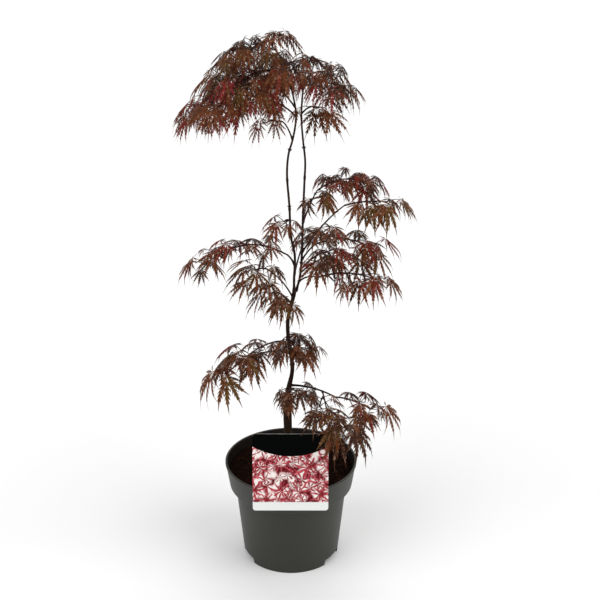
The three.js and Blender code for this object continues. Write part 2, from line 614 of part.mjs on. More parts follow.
addMesh('nursery_pot', makePot(), COLOURS.pot, 0.55);
addMesh('potting_soil', makeSoil(), COLOURS.soil, 0.95);
addMesh('plant_label', makeLabel(), COLOURS.label, 0.35);
for (const limb of limbs.values())
  addMesh(limb.name, limb.solid, limb.name === 'trunk' ? COLOURS.bark : COLOURS.twig, 0.8);
masses.forEach((mass, i) =>
  addMesh(mass.name, fuseMass(mass), COLOURS.leaves[i % COLOURS.leaves.length], 0.7));

export default tree;
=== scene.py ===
import math

import bmesh
import bpy
import numpy as np
from mathutils import Matrix, Vector, noise


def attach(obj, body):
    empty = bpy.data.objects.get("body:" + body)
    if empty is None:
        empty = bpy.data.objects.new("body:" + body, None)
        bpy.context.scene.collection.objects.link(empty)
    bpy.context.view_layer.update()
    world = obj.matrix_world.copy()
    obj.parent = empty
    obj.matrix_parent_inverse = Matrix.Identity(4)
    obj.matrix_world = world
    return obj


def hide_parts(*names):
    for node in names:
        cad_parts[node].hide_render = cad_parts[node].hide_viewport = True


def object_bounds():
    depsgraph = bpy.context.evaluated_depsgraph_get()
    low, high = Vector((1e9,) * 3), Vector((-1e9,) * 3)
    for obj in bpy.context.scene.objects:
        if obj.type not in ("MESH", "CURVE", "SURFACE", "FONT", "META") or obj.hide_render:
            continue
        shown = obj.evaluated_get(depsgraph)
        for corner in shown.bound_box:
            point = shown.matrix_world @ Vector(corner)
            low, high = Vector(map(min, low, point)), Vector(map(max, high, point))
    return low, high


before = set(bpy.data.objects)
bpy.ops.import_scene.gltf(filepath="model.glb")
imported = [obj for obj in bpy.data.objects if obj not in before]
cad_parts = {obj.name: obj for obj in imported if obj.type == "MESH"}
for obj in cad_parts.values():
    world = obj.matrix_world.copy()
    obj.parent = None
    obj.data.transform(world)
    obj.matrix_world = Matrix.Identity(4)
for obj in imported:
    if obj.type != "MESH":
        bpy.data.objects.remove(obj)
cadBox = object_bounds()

# A young laceleaf maple in a nursery pot. Growth is worked out in millimetres, meshes are in metres.

mm = 0.001
scene = bpy.context.scene


def stand(name, data):
    thing = bpy.data.objects.new(name, data)
    scene.collection.objects.link(thing)
    return thing


def keep(name, mesh, material=None, slot=None, replaced=()):
    piece = stand(name, mesh)
    if material:
        mesh.materials.clear()
        mesh.materials.append(material)
    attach(piece, "root")
    if replaced:
        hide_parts(*replaced)


def meshOf(name, points, faces, smooth=True):
    mesh = bpy.data.meshes.new(name)
    mesh.from_pydata([tuple(p) for p in points], [], [tuple(f) for f in faces])
    mesh.polygons.foreach_set("use_smooth", [smooth] * len(mesh.polygons))
    mesh.update()
    return mesh


def meshFrom(work, name):
    mesh = bpy.data.meshes.new(name)
    work.to_mesh(mesh)
    work.free()
    return mesh


def tidied(mesh, merge=0.0):
    work = bmesh.new()
    work.from_mesh(mesh)
    if merge:
        bmesh.ops.remove_doubles(work, verts=work.verts, dist=merge)
    bmesh.ops.recalc_face_normals(work, faces=work.faces)
    work.to_mesh(mesh)
    work.free()
    return mesh


def levelRing(radius, count, shift=0.0):
    angles = [2 * math.pi * (k + shift) / count for k in range(count)]
    return [(radius * math.cos(angle), radius * math.sin(angle)) for angle in angles]


def bandFaces(first, rings, sides):
    starts = [first + i * sides for i in range(rings - 1)]
    edges = [(start + k, start + (k + 1) % sides) for start in starts for k in range(sides)]
    return [(a, a + sides, b + sides, b) for a, b in edges]


# Camera

view = {"place": (0.01316, -1.73205, 1.15), "pitch": 23.37, "lens": 82.08, "sensor": 36}

seen = bpy.data.cameras.new("view")
seen.lens = view["lens"]
seen.sensor_width = view["sensor"]
camera = stand("view", seen)
camera.location = view["place"]
camera.rotation_euler = (math.radians(90 - view["pitch"]), 0, 0)
scene.camera = camera


# Node helpers

def put(tree, kind, inputs=None, **settings):
    node = tree.nodes.new(kind)
    for key, value in settings.items():
        setattr(node, key, value)
    for key, value in (inputs or {}).items():
        if isinstance(value, bpy.types.NodeSocket):
            tree.links.new(value, node.inputs[key])
        else:
            node.inputs[key].default_value = value
    return node


def tone(red, green, blue):
    linear = [v / 255 / 12.92 if v < 11 else ((v / 255 + 0.055) / 1.055) ** 2.4
              for v in (red, green, blue)]
    return (*linear, 1)


socketKinds = {"vector": "NodeSocketVector", "colour": "NodeSocketColor", "value": "NodeSocketFloat",
               "whole": "NodeSocketInt", "shape": "NodeSocketGeometry", "thing": "NodeSocketObject",
               "finish": "NodeSocketMaterial"}


def newGroup(kind, name, takes, gives):
    group = bpy.data.node_groups.new(name, kind)
    for label, (socketKind, value) in takes.items():
        socket = group.interface.new_socket(label, in_out="INPUT", socket_type=socketKinds[socketKind])
        if value is not None:
            socket.default_value = value
    for label, socketKind in gives.items():
        group.interface.new_socket(label, in_out="OUTPUT", socket_type=socketKinds[socketKind])
    return group, group.nodes.new("NodeGroupInput").outputs, group.nodes.new("NodeGroupOutput").inputs


def reckon(tree, operation, *values):
    return put(tree, "ShaderNodeMath", dict(enumerate(values)), operation=operation).outputs[0]


def blended(tree, share, low, high):
    return put(tree, "ShaderNodeMix", {0: share, 6: low, 7: high}, data_type="RGBA").outputs[2]


def ranged(tree, value, low, high, toLow=0.0, toHigh=1.0):
    return put(tree, "ShaderNodeMapRange", {"Value": value, "From Min": low, "From Max": high,
                                            "To Min": toLow, "To Max": toHigh}).outputs[0]


def cloudy(tree, place, scale, detail, roughness=0.5):
    return put(tree, "ShaderNodeTexNoise", {"Vector": place, "Scale": scale, "Detail": detail,
                                            "Roughness": roughness}).outputs["Fac"]


def stretched(tree, place, scale):
    return put(tree, "ShaderNodeMapping", {"Vector": place, "Scale": scale}).outputs[0]


def facing(tree):
    return put(tree, "ShaderNodeNewGeometry").outputs["Normal"]


# Shared effects: a patchy tone, a fine relief, and dust where a surface looks up

def makePatchyTone():
    group, given, out = newGroup("ShaderNodeTree", "patchyTone", {
        "Place": ("vector", None), "Patches": ("value", 20.0), "Contrast": ("value", 0.2),
        "Dark": ("colour", (0, 0, 0, 1)), "Light": ("colour", (1, 1, 1, 1))},
        {"Colour": "colour", "Mask": "value"})
    cloud = cloudy(group, given["Place"], given["Patches"], 5.0, 0.62)
    low = reckon(group, "SUBTRACT", 0.5, given["Contrast"])
    high = reckon(group, "ADD", 0.5, given["Contrast"])
    mask = ranged(group, cloud, low, high)
    group.links.new(blended(group, mask, given["Dark"], given["Light"]), out["Colour"])
    group.links.new(mask, out["Mask"])
    return group


def makeFineRelief():
    group, given, out = newGroup("ShaderNodeTree", "fineRelief", {
        "Place": ("vector", None), "Grain": ("value", 400.0), "Depth": ("value", 0.0002),
        "Lumps": ("value", 60.0)}, {"Normal": "vector", "Mask": "value"})
    fine = cloudy(group, given["Place"], given["Grain"], 4.0, 0.6)
    broad = cloudy(group, given["Place"], given["Lumps"], 2.0)
    bump = put(group, "ShaderNodeBump", {"Strength": 1.0, "Distance": given["Depth"],
                                         "Height": reckon(group, "ADD", fine, broad)})
    group.links.new(bump.outputs[0], out["Normal"])
    group.links.new(fine, out["Mask"])
    return group


def makeSettledDust():
    group, given, out = newGroup("ShaderNodeTree", "settledDust", {
        "Place": ("vector", None), "Colour": ("colour", (0, 0, 0, 1)), "Dust": ("colour", (1, 1, 1, 1)),
        "Amount": ("value", 0.4), "Patches": ("value", 60.0)}, {"Colour": "colour", "Mask": "value"})
    upward = put(group, "ShaderNodeSeparateXYZ", {0: facing(group)}).outputs["Z"]
    spots = ranged(group, cloudy(group, given["Place"], given["Patches"], 6.0), 0.4, 0.7)
    share = reckon(group, "MULTIPLY", ranged(group, upward, -0.1, 0.9), spots)
    amount = reckon(group, "MULTIPLY", share, given["Amount"])
    group.links.new(blended(group, amount, given["Colour"], given["Dust"]), out["Colour"])
    group.links.new(amount, out["Mask"])
    return group


effects = {"patchyTone": makePatchyTone(), "fineRelief": makeFineRelief(),
           "settledDust": makeSettledDust()}
print("shared effects made")


def effect(tree, name, labels, values):
    return put(tree, "ShaderNodeGroup", dict(zip(labels.split(), values)), node_tree=effects[name]).outputs


def patchy(tree, *values):
    return effect(tree, "patchyTone", "Place Patches Contrast Dark Light", values)


def relieved(tree, *values):
    return effect(tree, "fineRelief", "Place Grain Depth Lumps", values)


def dusty(tree, *values):
    return effect(tree, "settledDust", "Place Colour Dust Amount Patches", values)["Colour"]


def newMaterial(name, **constants):
    made = bpy.data.materials.new(name)
    made.use_nodes = True
    tree = made.node_tree
    shader = tree.nodes["Principled BSDF"]
    for key, value in constants.items():
        shader.inputs[key.replace("_", " ")].default_value = value
    place = put(tree, "ShaderNodeTexCoord").outputs["Object"]
    return made, tree, shader, place


def finish(tree, shader, colour, relief, mask, rough):
    tree.links.new(colour, shader.inputs["Base Color"])
    tree.links.new(relief["Normal"], shader.inputs["Normal"])
    tree.links.new(ranged(tree, mask, 0.0, 1.0, *rough), shader.inputs["Roughness"])


# The soiled tones and share are painted shade: near-black browns laid on the pot's inner wall where the
# inside of the pot falls in shade.
potLook = {"shine": 0.42, "plastic": ((33, 34, 27), (42, 43, 35)), "bloom": (40, 40, 33),
           "scuff": (74, 74, 69), "scuffShare": 0.35, "dust": (84, 74, 62), "dustShare": 0.4,
           "innerShade": ((8, 4, 2), (30, 18, 12)), "innerShadeShare": 0.9, "rough": (0.42, 0.56)}


def potMaterial():
    made, tree, shader, place = newMaterial("potPlastic", Specular_IOR_Level=potLook["shine"])
    dark, light = potLook["plastic"]
    flow = patchy(tree, stretched(tree, place, (1, 1, 0.12)), 38.0, 0.3, tone(*dark), tone(*light))
    broad = patchy(tree, place, 9.0, 0.35, flow["Colour"], tone(*potLook["bloom"]))
    scratches = cloudy(tree, stretched(tree, place, (60, 60, 900)), 1.0, 3.0, 0.7)
    marks = ranged(tree, scratches, 0.66, 0.8, 0.0, potLook["scuffShare"])
    worn = blended(tree, marks, broad["Colour"], tone(*potLook["scuff"]))
    dust = dusty(tree, place, worn, tone(*potLook["dust"]), potLook["dustShare"], 70.0)
    # Painted shade: faces that look in towards the pot's axis, the inner wall, turn to the dark patchy
    # tones, in place of the shade inside the pot.
    outward = stretched(tree, place, (12, 12, 0))
    inward = put(tree, "ShaderNodeVectorMath", {0: facing(tree), 1: outward}, operation="DOT_PRODUCT")
    innerShadeMask = ranged(tree, inward.outputs["Value"], -0.25, -0.6, 0.0, potLook["innerShadeShare"])
    innerShadeTone = patchy(tree, place, 120.0, 0.3, *[tone(*shade) for shade in potLook["innerShade"]])
    inside = blended(tree, innerShadeMask, dust, innerShadeTone["Colour"])
    finish(tree, shader, inside, relieved(tree, place, 1500.0, 0.00006, 25.0), broad["Mask"],
           potLook["rough"])
    return made


earthLook = {"shine": 0.05, "deep": (10, 4, 1), "crumbs": 520.0, "grain": 700.0, "lumps": 160.0,
             "rough": (0.98, 0.82)}


def earthMaterial(name, dark, light, patches, depth):
    made, tree, shader, place = newMaterial(name, Specular_IOR_Level=earthLook["shine"])
    clods = patchy(tree, place, patches, 0.22, tone(*dark), tone(*light))
    crumbs = patchy(tree, place, earthLook["crumbs"], 0.25, tone(*earthLook["deep"]), clods["Colour"])
    relief = relieved(tree, place, earthLook["grain"], depth, earthLook["lumps"])
    finish(tree, shader, crumbs["Colour"], relief, crumbs["Mask"], earthLook["rough"])
    return made


# dark, light, stretch along the grain, depth of the relief in metres, roughness
barks = {"maturingBark": ((24, 11, 4), (76, 50, 32), 0.22, 0.0009, (0.9, 0.68)),
         "youngBark": ((28, 12, 8), (58, 32, 23), 0.3, 0.00025, (0.6, 0.42)),
         "twigSkin": ((36, 14, 10), (72, 32, 26), 0.4, 0.00012, (0.5, 0.36))}

woodLook = {"shine": 0.14, "streaks": 300.0, "patches": 45.0, "pores": 330.0, "poreLength": 1.7,
            "pore": (112, 88, 66), "poreShare": 0.55, "grain": 900.0, "lumps": 200.0}


def barkMaterial(name):
    dark, light, stretch, depth, rough = barks[name]
    made, tree, shader, place = newMaterial(name, Specular_IOR_Level=woodLook["shine"])
    along = stretched(tree, place, (1, 1, stretch))
    streaks = patchy(tree, along, woodLook["streaks"], 0.25, tone(*dark), tone(*light))
    broad = patchy(tree, place, woodLook["patches"], 0.3, tone(*dark), streaks["Colour"])
    cells = put(tree, "ShaderNodeTexVoronoi", {
        "Vector": stretched(tree, place, (1, 1, woodLook["poreLength"])), "Scale": woodLook["pores"]})
    spots = ranged(tree, cells.outputs["Distance"], 0.1, 0.22, woodLook["poreShare"], 0.0)
    pored = blended(tree, spots, broad["Colour"], tone(*woodLook["pore"]))
    relief = relieved(tree, along, woodLook["grain"], depth, woodLook["lumps"])
    finish(tree, shader, pored, relief, streaks["Mask"], rough)
    return made


# glint, glints and glintShare set a painted highlight: a pale tone laid over patches of the leaves in
# place of light caught on them.
leafLook = {"shine": 0.16, "patches": 210.0, "glints": 260.0, "glint": (178, 142, 118),
            "glintShare": 0.34, "grain": 1300.0, "depth": 0.0002, "lumps": 300.0, "rough": (0.34, 0.5)}


def leafMaterial(name, dark, light):
    made, tree, shader, place = newMaterial(name, Specular_IOR_Level=leafLook["shine"])
    blade = patchy(tree, place, leafLook["patches"], 0.3, tone(*dark), tone(*light))
    # Painted highlight: noise patches of the blade turn towards the pale glint tone.
    pale = ranged(tree, cloudy(tree, place, leafLook["glints"], 2.0), 0.55, 0.66, 0.0,
                  leafLook["glintShare"])
    highlighted = blended(tree, pale, blade["Colour"], tone(*leafLook["glint"]))
    relief = relieved(tree, place, leafLook["grain"], leafLook["depth"], leafLook["lumps"])
    finish(tree, shader, highlighted, relief, blade["Mask"], leafLook["rough"])
    return made


# Growth of the limbs and masses, in millimetres

soil = {"top": 136.0, "footRadius": 16.0, "edgeRadius": 89.7, "mound": 1.6, "edgeDrop": 2.0}
pot = {"height": 150.0, "rimRadius": 95.0, "lip": 3.0, "wall": 2.0, "floor": 3.0, "bandDrop": 37.0,
       "bandRadius": 89.0, "ledgeDrop": 3.0, "shoulderRadius": 80.5, "baseRadius": 69.0,
       "slotAngles": (22, 158, 202, 332), "slotSize": (9.0, 40.0, 9.0), "slotCorner": 3, "rounds": 144,
       "sharpFrom": 38}
label = {"width": 105.0, "height": 112.0, "thickness": 0.9, "corner": 4.0, "lean": 10.0,
         "rimShare": 0.22, "gap": 0.3, "tab": (16.0, 0.9, 6.5, 12.0), "rods": (6, 5)}

trunk = {"steps": 22,
         "path": [(-4, 0, 136.3), (-4, 0, 180), (-5, 0, 232), (-6, -1, 250), (-2, -2, 271),
                  (2, -1, 291), (2, 0, 307), (-2, 1, 332), (-4, 2, 360), (-3, 2, 376), (3, 0, 402),
                  (6, 0, 417)],
         "radii": [(0, 9.5), (4, 7.4), (12, 6.2), (60, 5.7), (92, 6.0), (104, 5.0), (116, 3.4),
                   (136, 3.5), (150, 2.9), (262, 2.6), (274, 3.0), (281, 2.7)]}

leaders = {
    "leader_left": {"radii": (2.1, 1.2), "path": [
        (5, -1, 414), (5, -3, 432), (6, -4, 470), (1, -4, 496), (-1, -5, 540), (-4, -5, 585),
        (-2, -5, 612), (4, -4, 634), (8, -4, 664), (4, -4, 692), (-8, -2, 735), (-28, -2, 762)]},
    "leader_right": {"radii": (2.0, 1.2), "path": [
        (7.5, 1, 414), (13, 4, 434), (16, 5, 474), (17, 5, 520), (19, 5, 569), (20, 5, 600),
        (17, 5, 630), (15, 5, 660), (17, 5, 695), (21, 3, 720), (28, 1, 741)]}}

# name: on, foot, tip, lift, radii
boughs = {
    "bough_low_right": ("trunk", 271, (62, -38, 271), 5, (1.9, 1.2)),
    "bough_low_front": ("bough_low_right", 0.72, (50, -60, 261), 3, (1.3, 1.0)),
    "bough_low_left": ("trunk", 318, (-16, -12, 329), 2, (1.7, 1.2)),
    "bough_low_left_back": ("trunk", 333, (-24, 16, 330), 3, (1.5, 1.1)),
    "bough_mid_left": ("leader_left", 455, (-7, 5, 468), 3, (1.6, 1.2)),
    "bough_mid_left_low": ("trunk", 405, (-22, -24, 450), 4, (1.4, 1.0)),
    "bough_mid_right_top": ("leader_right", 512, (36, 18, 554), 3, (1.5, 1.0)),
    "bough_mid_right_long": ("leader_right", 470, (72, -16, 545), 6, (1.6, 1.0)),
    "bough_mid_right": ("leader_right", 458, (46, -6, 490), 7, (1.5, 1.0)),
    "bough_mid_right_low": ("leader_right", 428, (37, -24, 445), 4, (1.5, 1.0)),
    "bough_mid_back": ("leader_left", 440, (22, 44, 474), 8, (1.4, 1.0)),
    "bough_top_left": ("leader_left", 724, (-56, -4, 712), 6, (1.3, 0.9)),
    "bough_top_left_front": ("leader_left", 676, (-30, -26, 712), 6, (1.3, 0.9)),
    "bough_top_left_back": ("leader_left", 700, (-32, 30, 716), 6, (1.2, 0.9)),
    "bough_top_arch": ("leader_left", 632, (-16, -16, 660), 9, (1.3, 0.9)),
    "bough_top_right_back": ("leader_right", 702, (38, 28, 714), 6, (1.2, 0.9)),
    "bough_top_front": ("leader_right", 694, (3, -32, 738), 5, (1.2, 0.9)),
    "bough_top_back": ("leader_left", 712, (6, 38, 722), 3, (1.2, 0.9))}

# name: on, foot (None grows on from the tip), reach, lift, nodes, pitch, size, levels of finer
# shoots, tints
masses = {
    "mass_low_right": ("bough_low_right", None, (111, -52, 259), 4, 3, 46, 0.98, 1, "bdr"),
    "mass_low_right_inner": ("bough_low_front", 0.35, (40, -62, 268), 4, 2, 40, 0.9, 1, "bdo"),
    "mass_low_front": ("bough_low_front", None, (76, -86, 246), 8, 4, 52, 1.15, 2, "bdo"),
    "mass_low_stem": ("trunk", 338, (12, -26, 342), 5, 3, 50, 0.85, 3, "bdd"),
    "mass_low_foot": ("trunk", 262, (6, -24, 274), 4, 2, 46, 0.9, 2, "bdo"),
    "mass_low_back": ("trunk", 300, (6, 42, 320), 8, 1, 45, 0.9, 1, "bdo"),
    "mass_low_left": ("bough_low_left", None, (-90, -36, 305), 10, 2, 55, 1.2, 1, "bdo"),
    "mass_low_left_back": ("bough_low_left_back", None, (-64, 28, 301), 3, 2, 36, 1.1, 1, "bdr"),
    "mass_mid_left_foot": ("trunk", 396, (-26, -28, 424), 6, 2, 50, 0.9, 1, "bod"),
    "mass_mid_left_low": ("bough_mid_left_low", None, (-46, -38, 462), 5, 2, 34, 0.95, 1, "bdo"),
    "mass_mid_left": ("bough_mid_left", None, (-118, 16, 447), 21, 5, 42, 1.0, 1, "bdr"),
    "mass_mid_left_top": ("leader_left", 518, (-8, -13, 521), 3, 1, 56, 0.86, 1, "bdr"),
    "mass_mid_right_top": ("bough_mid_right_top", None, (99, 32, 561), 10, 4, 55, 0.88, 3, "rbd"),
    "mass_mid_right_inner": ("leader_right", 534, (38, -14, 555), 4, 2, 62, 0.8, 0, "bod"),
    "mass_mid_right_long": ("bough_mid_right_long", None, (128, -24, 553), 3, 3, 52, 0.9, 1, "obr"),
    "mass_mid_right_near": ("bough_mid_right_long", 0.45, (52, -42, 524), 5, 1, 32, 0.9, 0, "bdr"),
    "mass_mid_right": ("bough_mid_right", None, (110, 6, 476), 8, 3, 36, 0.98, 1, "bro"),
    "mass_mid_right_low": ("bough_mid_right_low", None, (114, -58, 456), 8, 4, 54, 0.95, 1, "bdr"),
    "mass_mid_right_back": ("leader_right", 440, (90, 34, 448), 14, 2, 45, 0.95, 1, "bdo"),
    "mass_mid_back": ("bough_mid_back", None, (36, 76, 458), 6, 2, 45, 0.95, 1, "bdo"),
    "mass_mid_front": ("leader_right", 445, (50, -33, 486), 5, 2, 46, 0.9, 1, "bdr"),
    "mass_top_left": ("leader_left", None, (-82, 5, 708), 9, 4, 52, 1.05, 6, "bbo"),
    "mass_top_left_outer": ("bough_top_left", None, (-114, -8, 671), 6, 4, 58, 1.05, 6, "rbc"),
    "mass_top_left_front": ("bough_top_left_front", None, (-92, -54, 688), 12, 4, 60, 1.08, 5, "bcb"),
    "mass_top_left_back": ("bough_top_left_back", None, (-84, 52, 670), 10, 3, 55, 1.08, 5, "bdr"),
    "mass_top_left_under": ("leader_left", 664, (-64, 14, 668), 16, 2, 65, 1.05, 1, "rbc"),
    "mass_top_mid": ("leader_left", 706, (-44, -50, 708), 8, 3, 60, 1.0, 3, "bbo"),
    "mass_top_arch": ("bough_top_arch", None, (-30, -26, 661), 2, 1, 56, 0.78, 0, "rbc"),
    "mass_top_apex": ("leader_left", 755, (-20, -2, 769), 3, 1, 42, 0.95, 0, "bdb"),
    "mass_top_right": ("leader_right", None, (60, -8, 702), 6, 3, 60, 0.95, 1, "dbr"),
    "mass_top_right_front": ("leader_right", 700, (46, -36, 706), 6, 2, 60, 0.9, 1, "rcd"),
    "mass_top_right_low": ("leader_right", 664, (36, -22, 680), 5, 2, 48, 0.95, 0, "bdo"),
    "mass_top_right_back": ("bough_top_right_back", None, (48, 50, 688), 8, 3, 58, 1.0, 1, "bdr"),
    "mass_top_front": ("bough_top_front", None, (-7, -60, 736), 4, 2, 62, 1.0, 1, "bbr"),
    "mass_top_back": ("bough_top_back", None, (-10, 76, 700), 8, 2, 55, 1.08, 2, "bdo")}

# Lengths in millimetres, angles in degrees. A leaf is tried with its lobes as thin rods that keep
# clear of all the others; lobes may be cut back to the shares in "shorter".
growth = {
    "seed": 20, "leaderSteps": 14, "boughSteps": 5, "stemRadii": (1.5, 1.2), "start": 0.3,
    "endSpread": 0.2,
    "petiole": {"length": (13, 24), "radius": 0.5, "fan": (35, 80), "rise": (0, 34), "wander": 0.15},
    "leaf": {"length": 50, "rod": 3.9 * 0.7, "angles": (0, 27, 54, 84), "lengths": (1, 0.94, 0.78, 0.5),
             "droop": (0.18, 0.4), "tilt": 14, "size": (0.85, 1.1), "shrink": 0.02},
    "clearance": 0.9, "crowding": 0.6, "tries": 24, "shorter": (1, 0.8, 0.62, 0.46),
    "cutBack": (0.7, 3)}

# Each level of shoots starts further along the stems and keeps less room. "leafy" limbs carry shoots
# past that share of their length, and the roof is the dome that the shoots stay under.
finer = {
    "twig": (9, 17), "longer": 0.12, "fan": (30, 75), "rises": ((-55, -8), (-20, 30)),
    "size": (0.66, 0.86), "spread": 1.2, "offset": 0.35, "step": 0.618, "bareFoot": 0.12,
    "crowding": (0.34, 0.6), "closer": 0.86, "tries": 16, "slack": 1, "limbShoots": 3,
    "roof": {"middle": (-15, -2), "top": 777, "fall": 0.006},
    "leafy": {"leader_left": 0.84, "leader_right": 0.76, "bough_top_left": 0.2,
              "bough_top_left_front": 0.25, "bough_top_left_back": 0.25, "bough_top_front": 0.3,
              "bough_top_back": 0.2, "bough_top_right_back": 0.2}}

# Added to a number of its own, so that each use draws by itself
seeds = {"shoot": 500, "shootLeaf": 700, "lobes": 300, "tint": 900}

up = np.array((0.0, 0.0, 1.0))
rad = math.radians
mostRods = 12000


def mix(low, high, share):
    return low + (high - low) * share


def chance(seed):
    full = 0xFFFFFFFF
    state = seed & full

    def draw():
        nonlocal state
        state = (state + 0x6D2B79F5) & full
        t = ((state ^ state >> 15) * (state | 1)) & full
        t ^= (t + (t ^ t >> 7) * (t | 61)) & full
        return ((t ^ t >> 14) & full) / 4294967296

    return draw


def chanceFor(*parts):
    total = growth["seed"]
    for part in parts:
        total = total * 131 + part
    return chance(total)


def between(draw, span):
    return span[0] + (span[1] - span[0]) * draw()


def unit(v):
    return v / math.sqrt(float(v @ v))


def direction(azimuth, elevation):
    level = math.cos(elevation)
    return np.array((level * math.cos(azimuth), level * math.sin(azimuth), math.sin(elevation)))


def arch(start, end, lift):
    start, end = np.array(start, float), np.array(end, float)
    middle = (start + end) / 2 + up * 2 * lift
    return lambda t: (1 - t) ** 2 * start + 2 * (1 - t) * t * middle + t * t * end


def through(path):
    points = [np.array(p, float) for p in path]
    points = [2 * points[0] - points[1], *points, 2 * points[-1] - points[-2]]

    def at(t):
        place = (len(points) - 3) * t
        k = min(int(place), len(points) - 4)
        share = place - k
        a, b, c, d = points[k:k + 4]
        ab, bc, cd = [float((q - p) @ (q - p)) ** 0.25 for p, q in ((a, b), (b, c), (c, d))]
        leave = ((b - a) / ab - (c - a) / (ab + bc) + (c - b) / bc) * bc
        arrive = ((c - b) / bc - (d - b) / (bc + cd) + (d - c) / cd) * bc
        return (b + leave * share + (3 * c - 3 * b - 2 * leave - arrive) * share ** 2
                + (2 * b - 2 * c + leave + arrive) * share ** 3)

    return at


def heading(curve, t):
    ahead = curve(min(1, t + 0.0001)) - curve(max(0, t - 0.0001))
    return unit(ahead)


rods = {"a": np.zeros((mostRods, 3)), "b": np.zeros((mostRods, 3)), "radius": np.zeros(mostRods),
        "owner": np.zeros(mostRods, int), "count": 0}


def addRods(points, radius, owner):
    for a, b in zip(points, points[1:]):
        k = rods["count"]
        rods["a"][k], rods["b"][k], rods["radius"][k], rods["owner"][k] = a, b, radius, owner
        rods["count"] += 1


def distances(a, b, starts, ends):
    u, v, w = b - a, ends - starts, a - starts
    uu, uv, vv = float(u @ u), v @ u, np.einsum("ij,ij->i", v, v)
    uw, vw = w @ u, np.einsum("ij,ij->i", v, w)
    flat = uu * vv - uv * uv
    safe = np.where(flat > 1e-9, flat, 1.0)
    s = np.where(flat > 1e-9, np.clip((uv * vw - vv * uw) / safe, 0, 1), 0.0)
    t = np.clip((uv * s + vw) / vv, 0, 1)
    s = np.clip((uv * t - uw) / uu, 0, 1)
    apart = w + s[:, None] * u - t[:, None] * v
    return np.sqrt(np.einsum("ij,ij->i", apart, apart))


def hasRoom(a, b, radius, owner, own=None, other=1.0):
    n = rods["count"]
    starts, ends = rods["a"][:n], rods["b"][:n]
    shared = np.minimum(np.linalg.norm(starts - a, axis=1), np.linalg.norm(ends - a, axis=1)) < 0.01
    factor = np.where(rods["owner"][:n] == owner, own or growth["crowding"], other)
    needed = (radius + rods["radius"][:n] + growth["clearance"]) * factor
    return bool(np.all(shared | (distances(a, b, starts, ends) > needed)))


limbs = {}
owners = {name: k for k, name in enumerate(["trunk", *leaders, *boughs, "plant_label", *masses])}


def trunkRadius(share, point):
    above = point[2] - soil["top"]
    table = trunk["radii"]
    k = max(1, next((i for i, (h, _) in enumerate(table) if h >= above), len(table) - 1))
    (h0, r0), (h1, r1) = table[k - 1], table[k]
    return mix(r0, r1, min(1, max(0, (above - h0) / (h1 - h0))))


def tapering(radii):
    return lambda share, point: mix(*radii, share)


def addLimb(name, curve, radiusAt, steps):
    line = [curve(i / steps) for i in range(steps + 1)]
    limbs[name] = {"curve": curve, "line": line, "radiusAt": radiusAt}
    for i in range(steps):
        addRods(line[i:i + 2], radiusAt(i / steps, line[i]), owners[name])


def pointOn(limb, foot):
    if foot < 1:
        return limb["curve"](foot)
    for a, b in zip(limb["line"], limb["line"][1:]):
        if (a[2] - foot) * (b[2] - foot) <= 0:
            return a + (b - a) * (foot - a[2]) / (b[2] - a[2])
    return limb["line"][-1]


def growLimbs():
    addLimb("trunk", through(trunk["path"]), trunkRadius, trunk["steps"])
    for name, spec in leaders.items():
        addLimb(name, through(spec["path"]), tapering(spec["radii"]), growth["leaderSteps"])
    for name, (on, foot, tip, lift, radii) in boughs.items():
        addLimb(name, arch(pointOn(limbs[on], foot), tip, lift), tapering(radii), growth["boughSteps"])


def addLabelRods():
    count, radius = label["rods"]
    above = (1 - label["rimShare"]) * label["height"]
    along = 0.0
    while along <= above:
        y = along * math.sin(rad(label["lean"])) - pot["rimRadius"]
        z = pot["height"] + along * math.cos(rad(label["lean"]))
        ends = [np.array((x, y, z)) for x in (-label["width"] / 2, label["width"] / 2)]
        addRods(ends, radius, owners["plant_label"])
        along += above / count


def planMass(name, index):
    on, foot, reach, lift, nodes, pitch, size, rounds, tints = masses[name]
    limb = limbs[on]
    draw = chanceFor(index)
    tip = limb["line"][-1] + heading(limb["curve"], 1) * growth["start"]
    stem = arch(tip if foot is None else pointOn(limb, foot), reach, lift)
    buds = []
    for k in reversed(range(nodes)):
        share = (k + 1) / nodes
        node = stem(share)
        way = heading(stem, share)
        ahead = math.atan2(way[1], way[0])
        if share == 1:
            buds.append({"node": node, "azimuth": ahead, "spread": growth["endSpread"]})
        for side in (-1, 1):
            turn = side * rad(between(draw, growth["petiole"]["fan"]))
            buds.append({"node": node, "azimuth": ahead + turn, "spread": 1})
    addRods([stem(i / nodes) for i in range(nodes + 1)], growth["stemRadii"][0], owners[name])
    return {"name": name, "index": index, "owner": owners[name], "pitch": pitch, "size": size,
            "rounds": rounds, "tints": tints, "stem": stem, "nodes": nodes, "buds": buds,
            "leaves": [], "shoots": []}


def lobesOf(azimuth, pitch, roll, size):
    leaf = growth["leaf"]
    axis = direction(azimuth, -pitch)
    level = np.array((-math.sin(azimuth), math.cos(azimuth), 0.0))
    across = level * math.cos(roll) + np.cross(axis, level) * math.sin(roll)
    lobes = []
    for i in range(-3, 4):
        angle = math.copysign(rad(leaf["angles"][abs(i)]), i)
        droop = mix(*leaf["droop"], abs(math.sin(angle)))
        way = unit(axis * math.cos(angle) + across * math.sin(angle) - up * droop)
        lobes.append([way, leaf["length"] * size * leaf["lengths"][abs(i)]])
    return axis, unit(np.cross(axis, across)), lobes


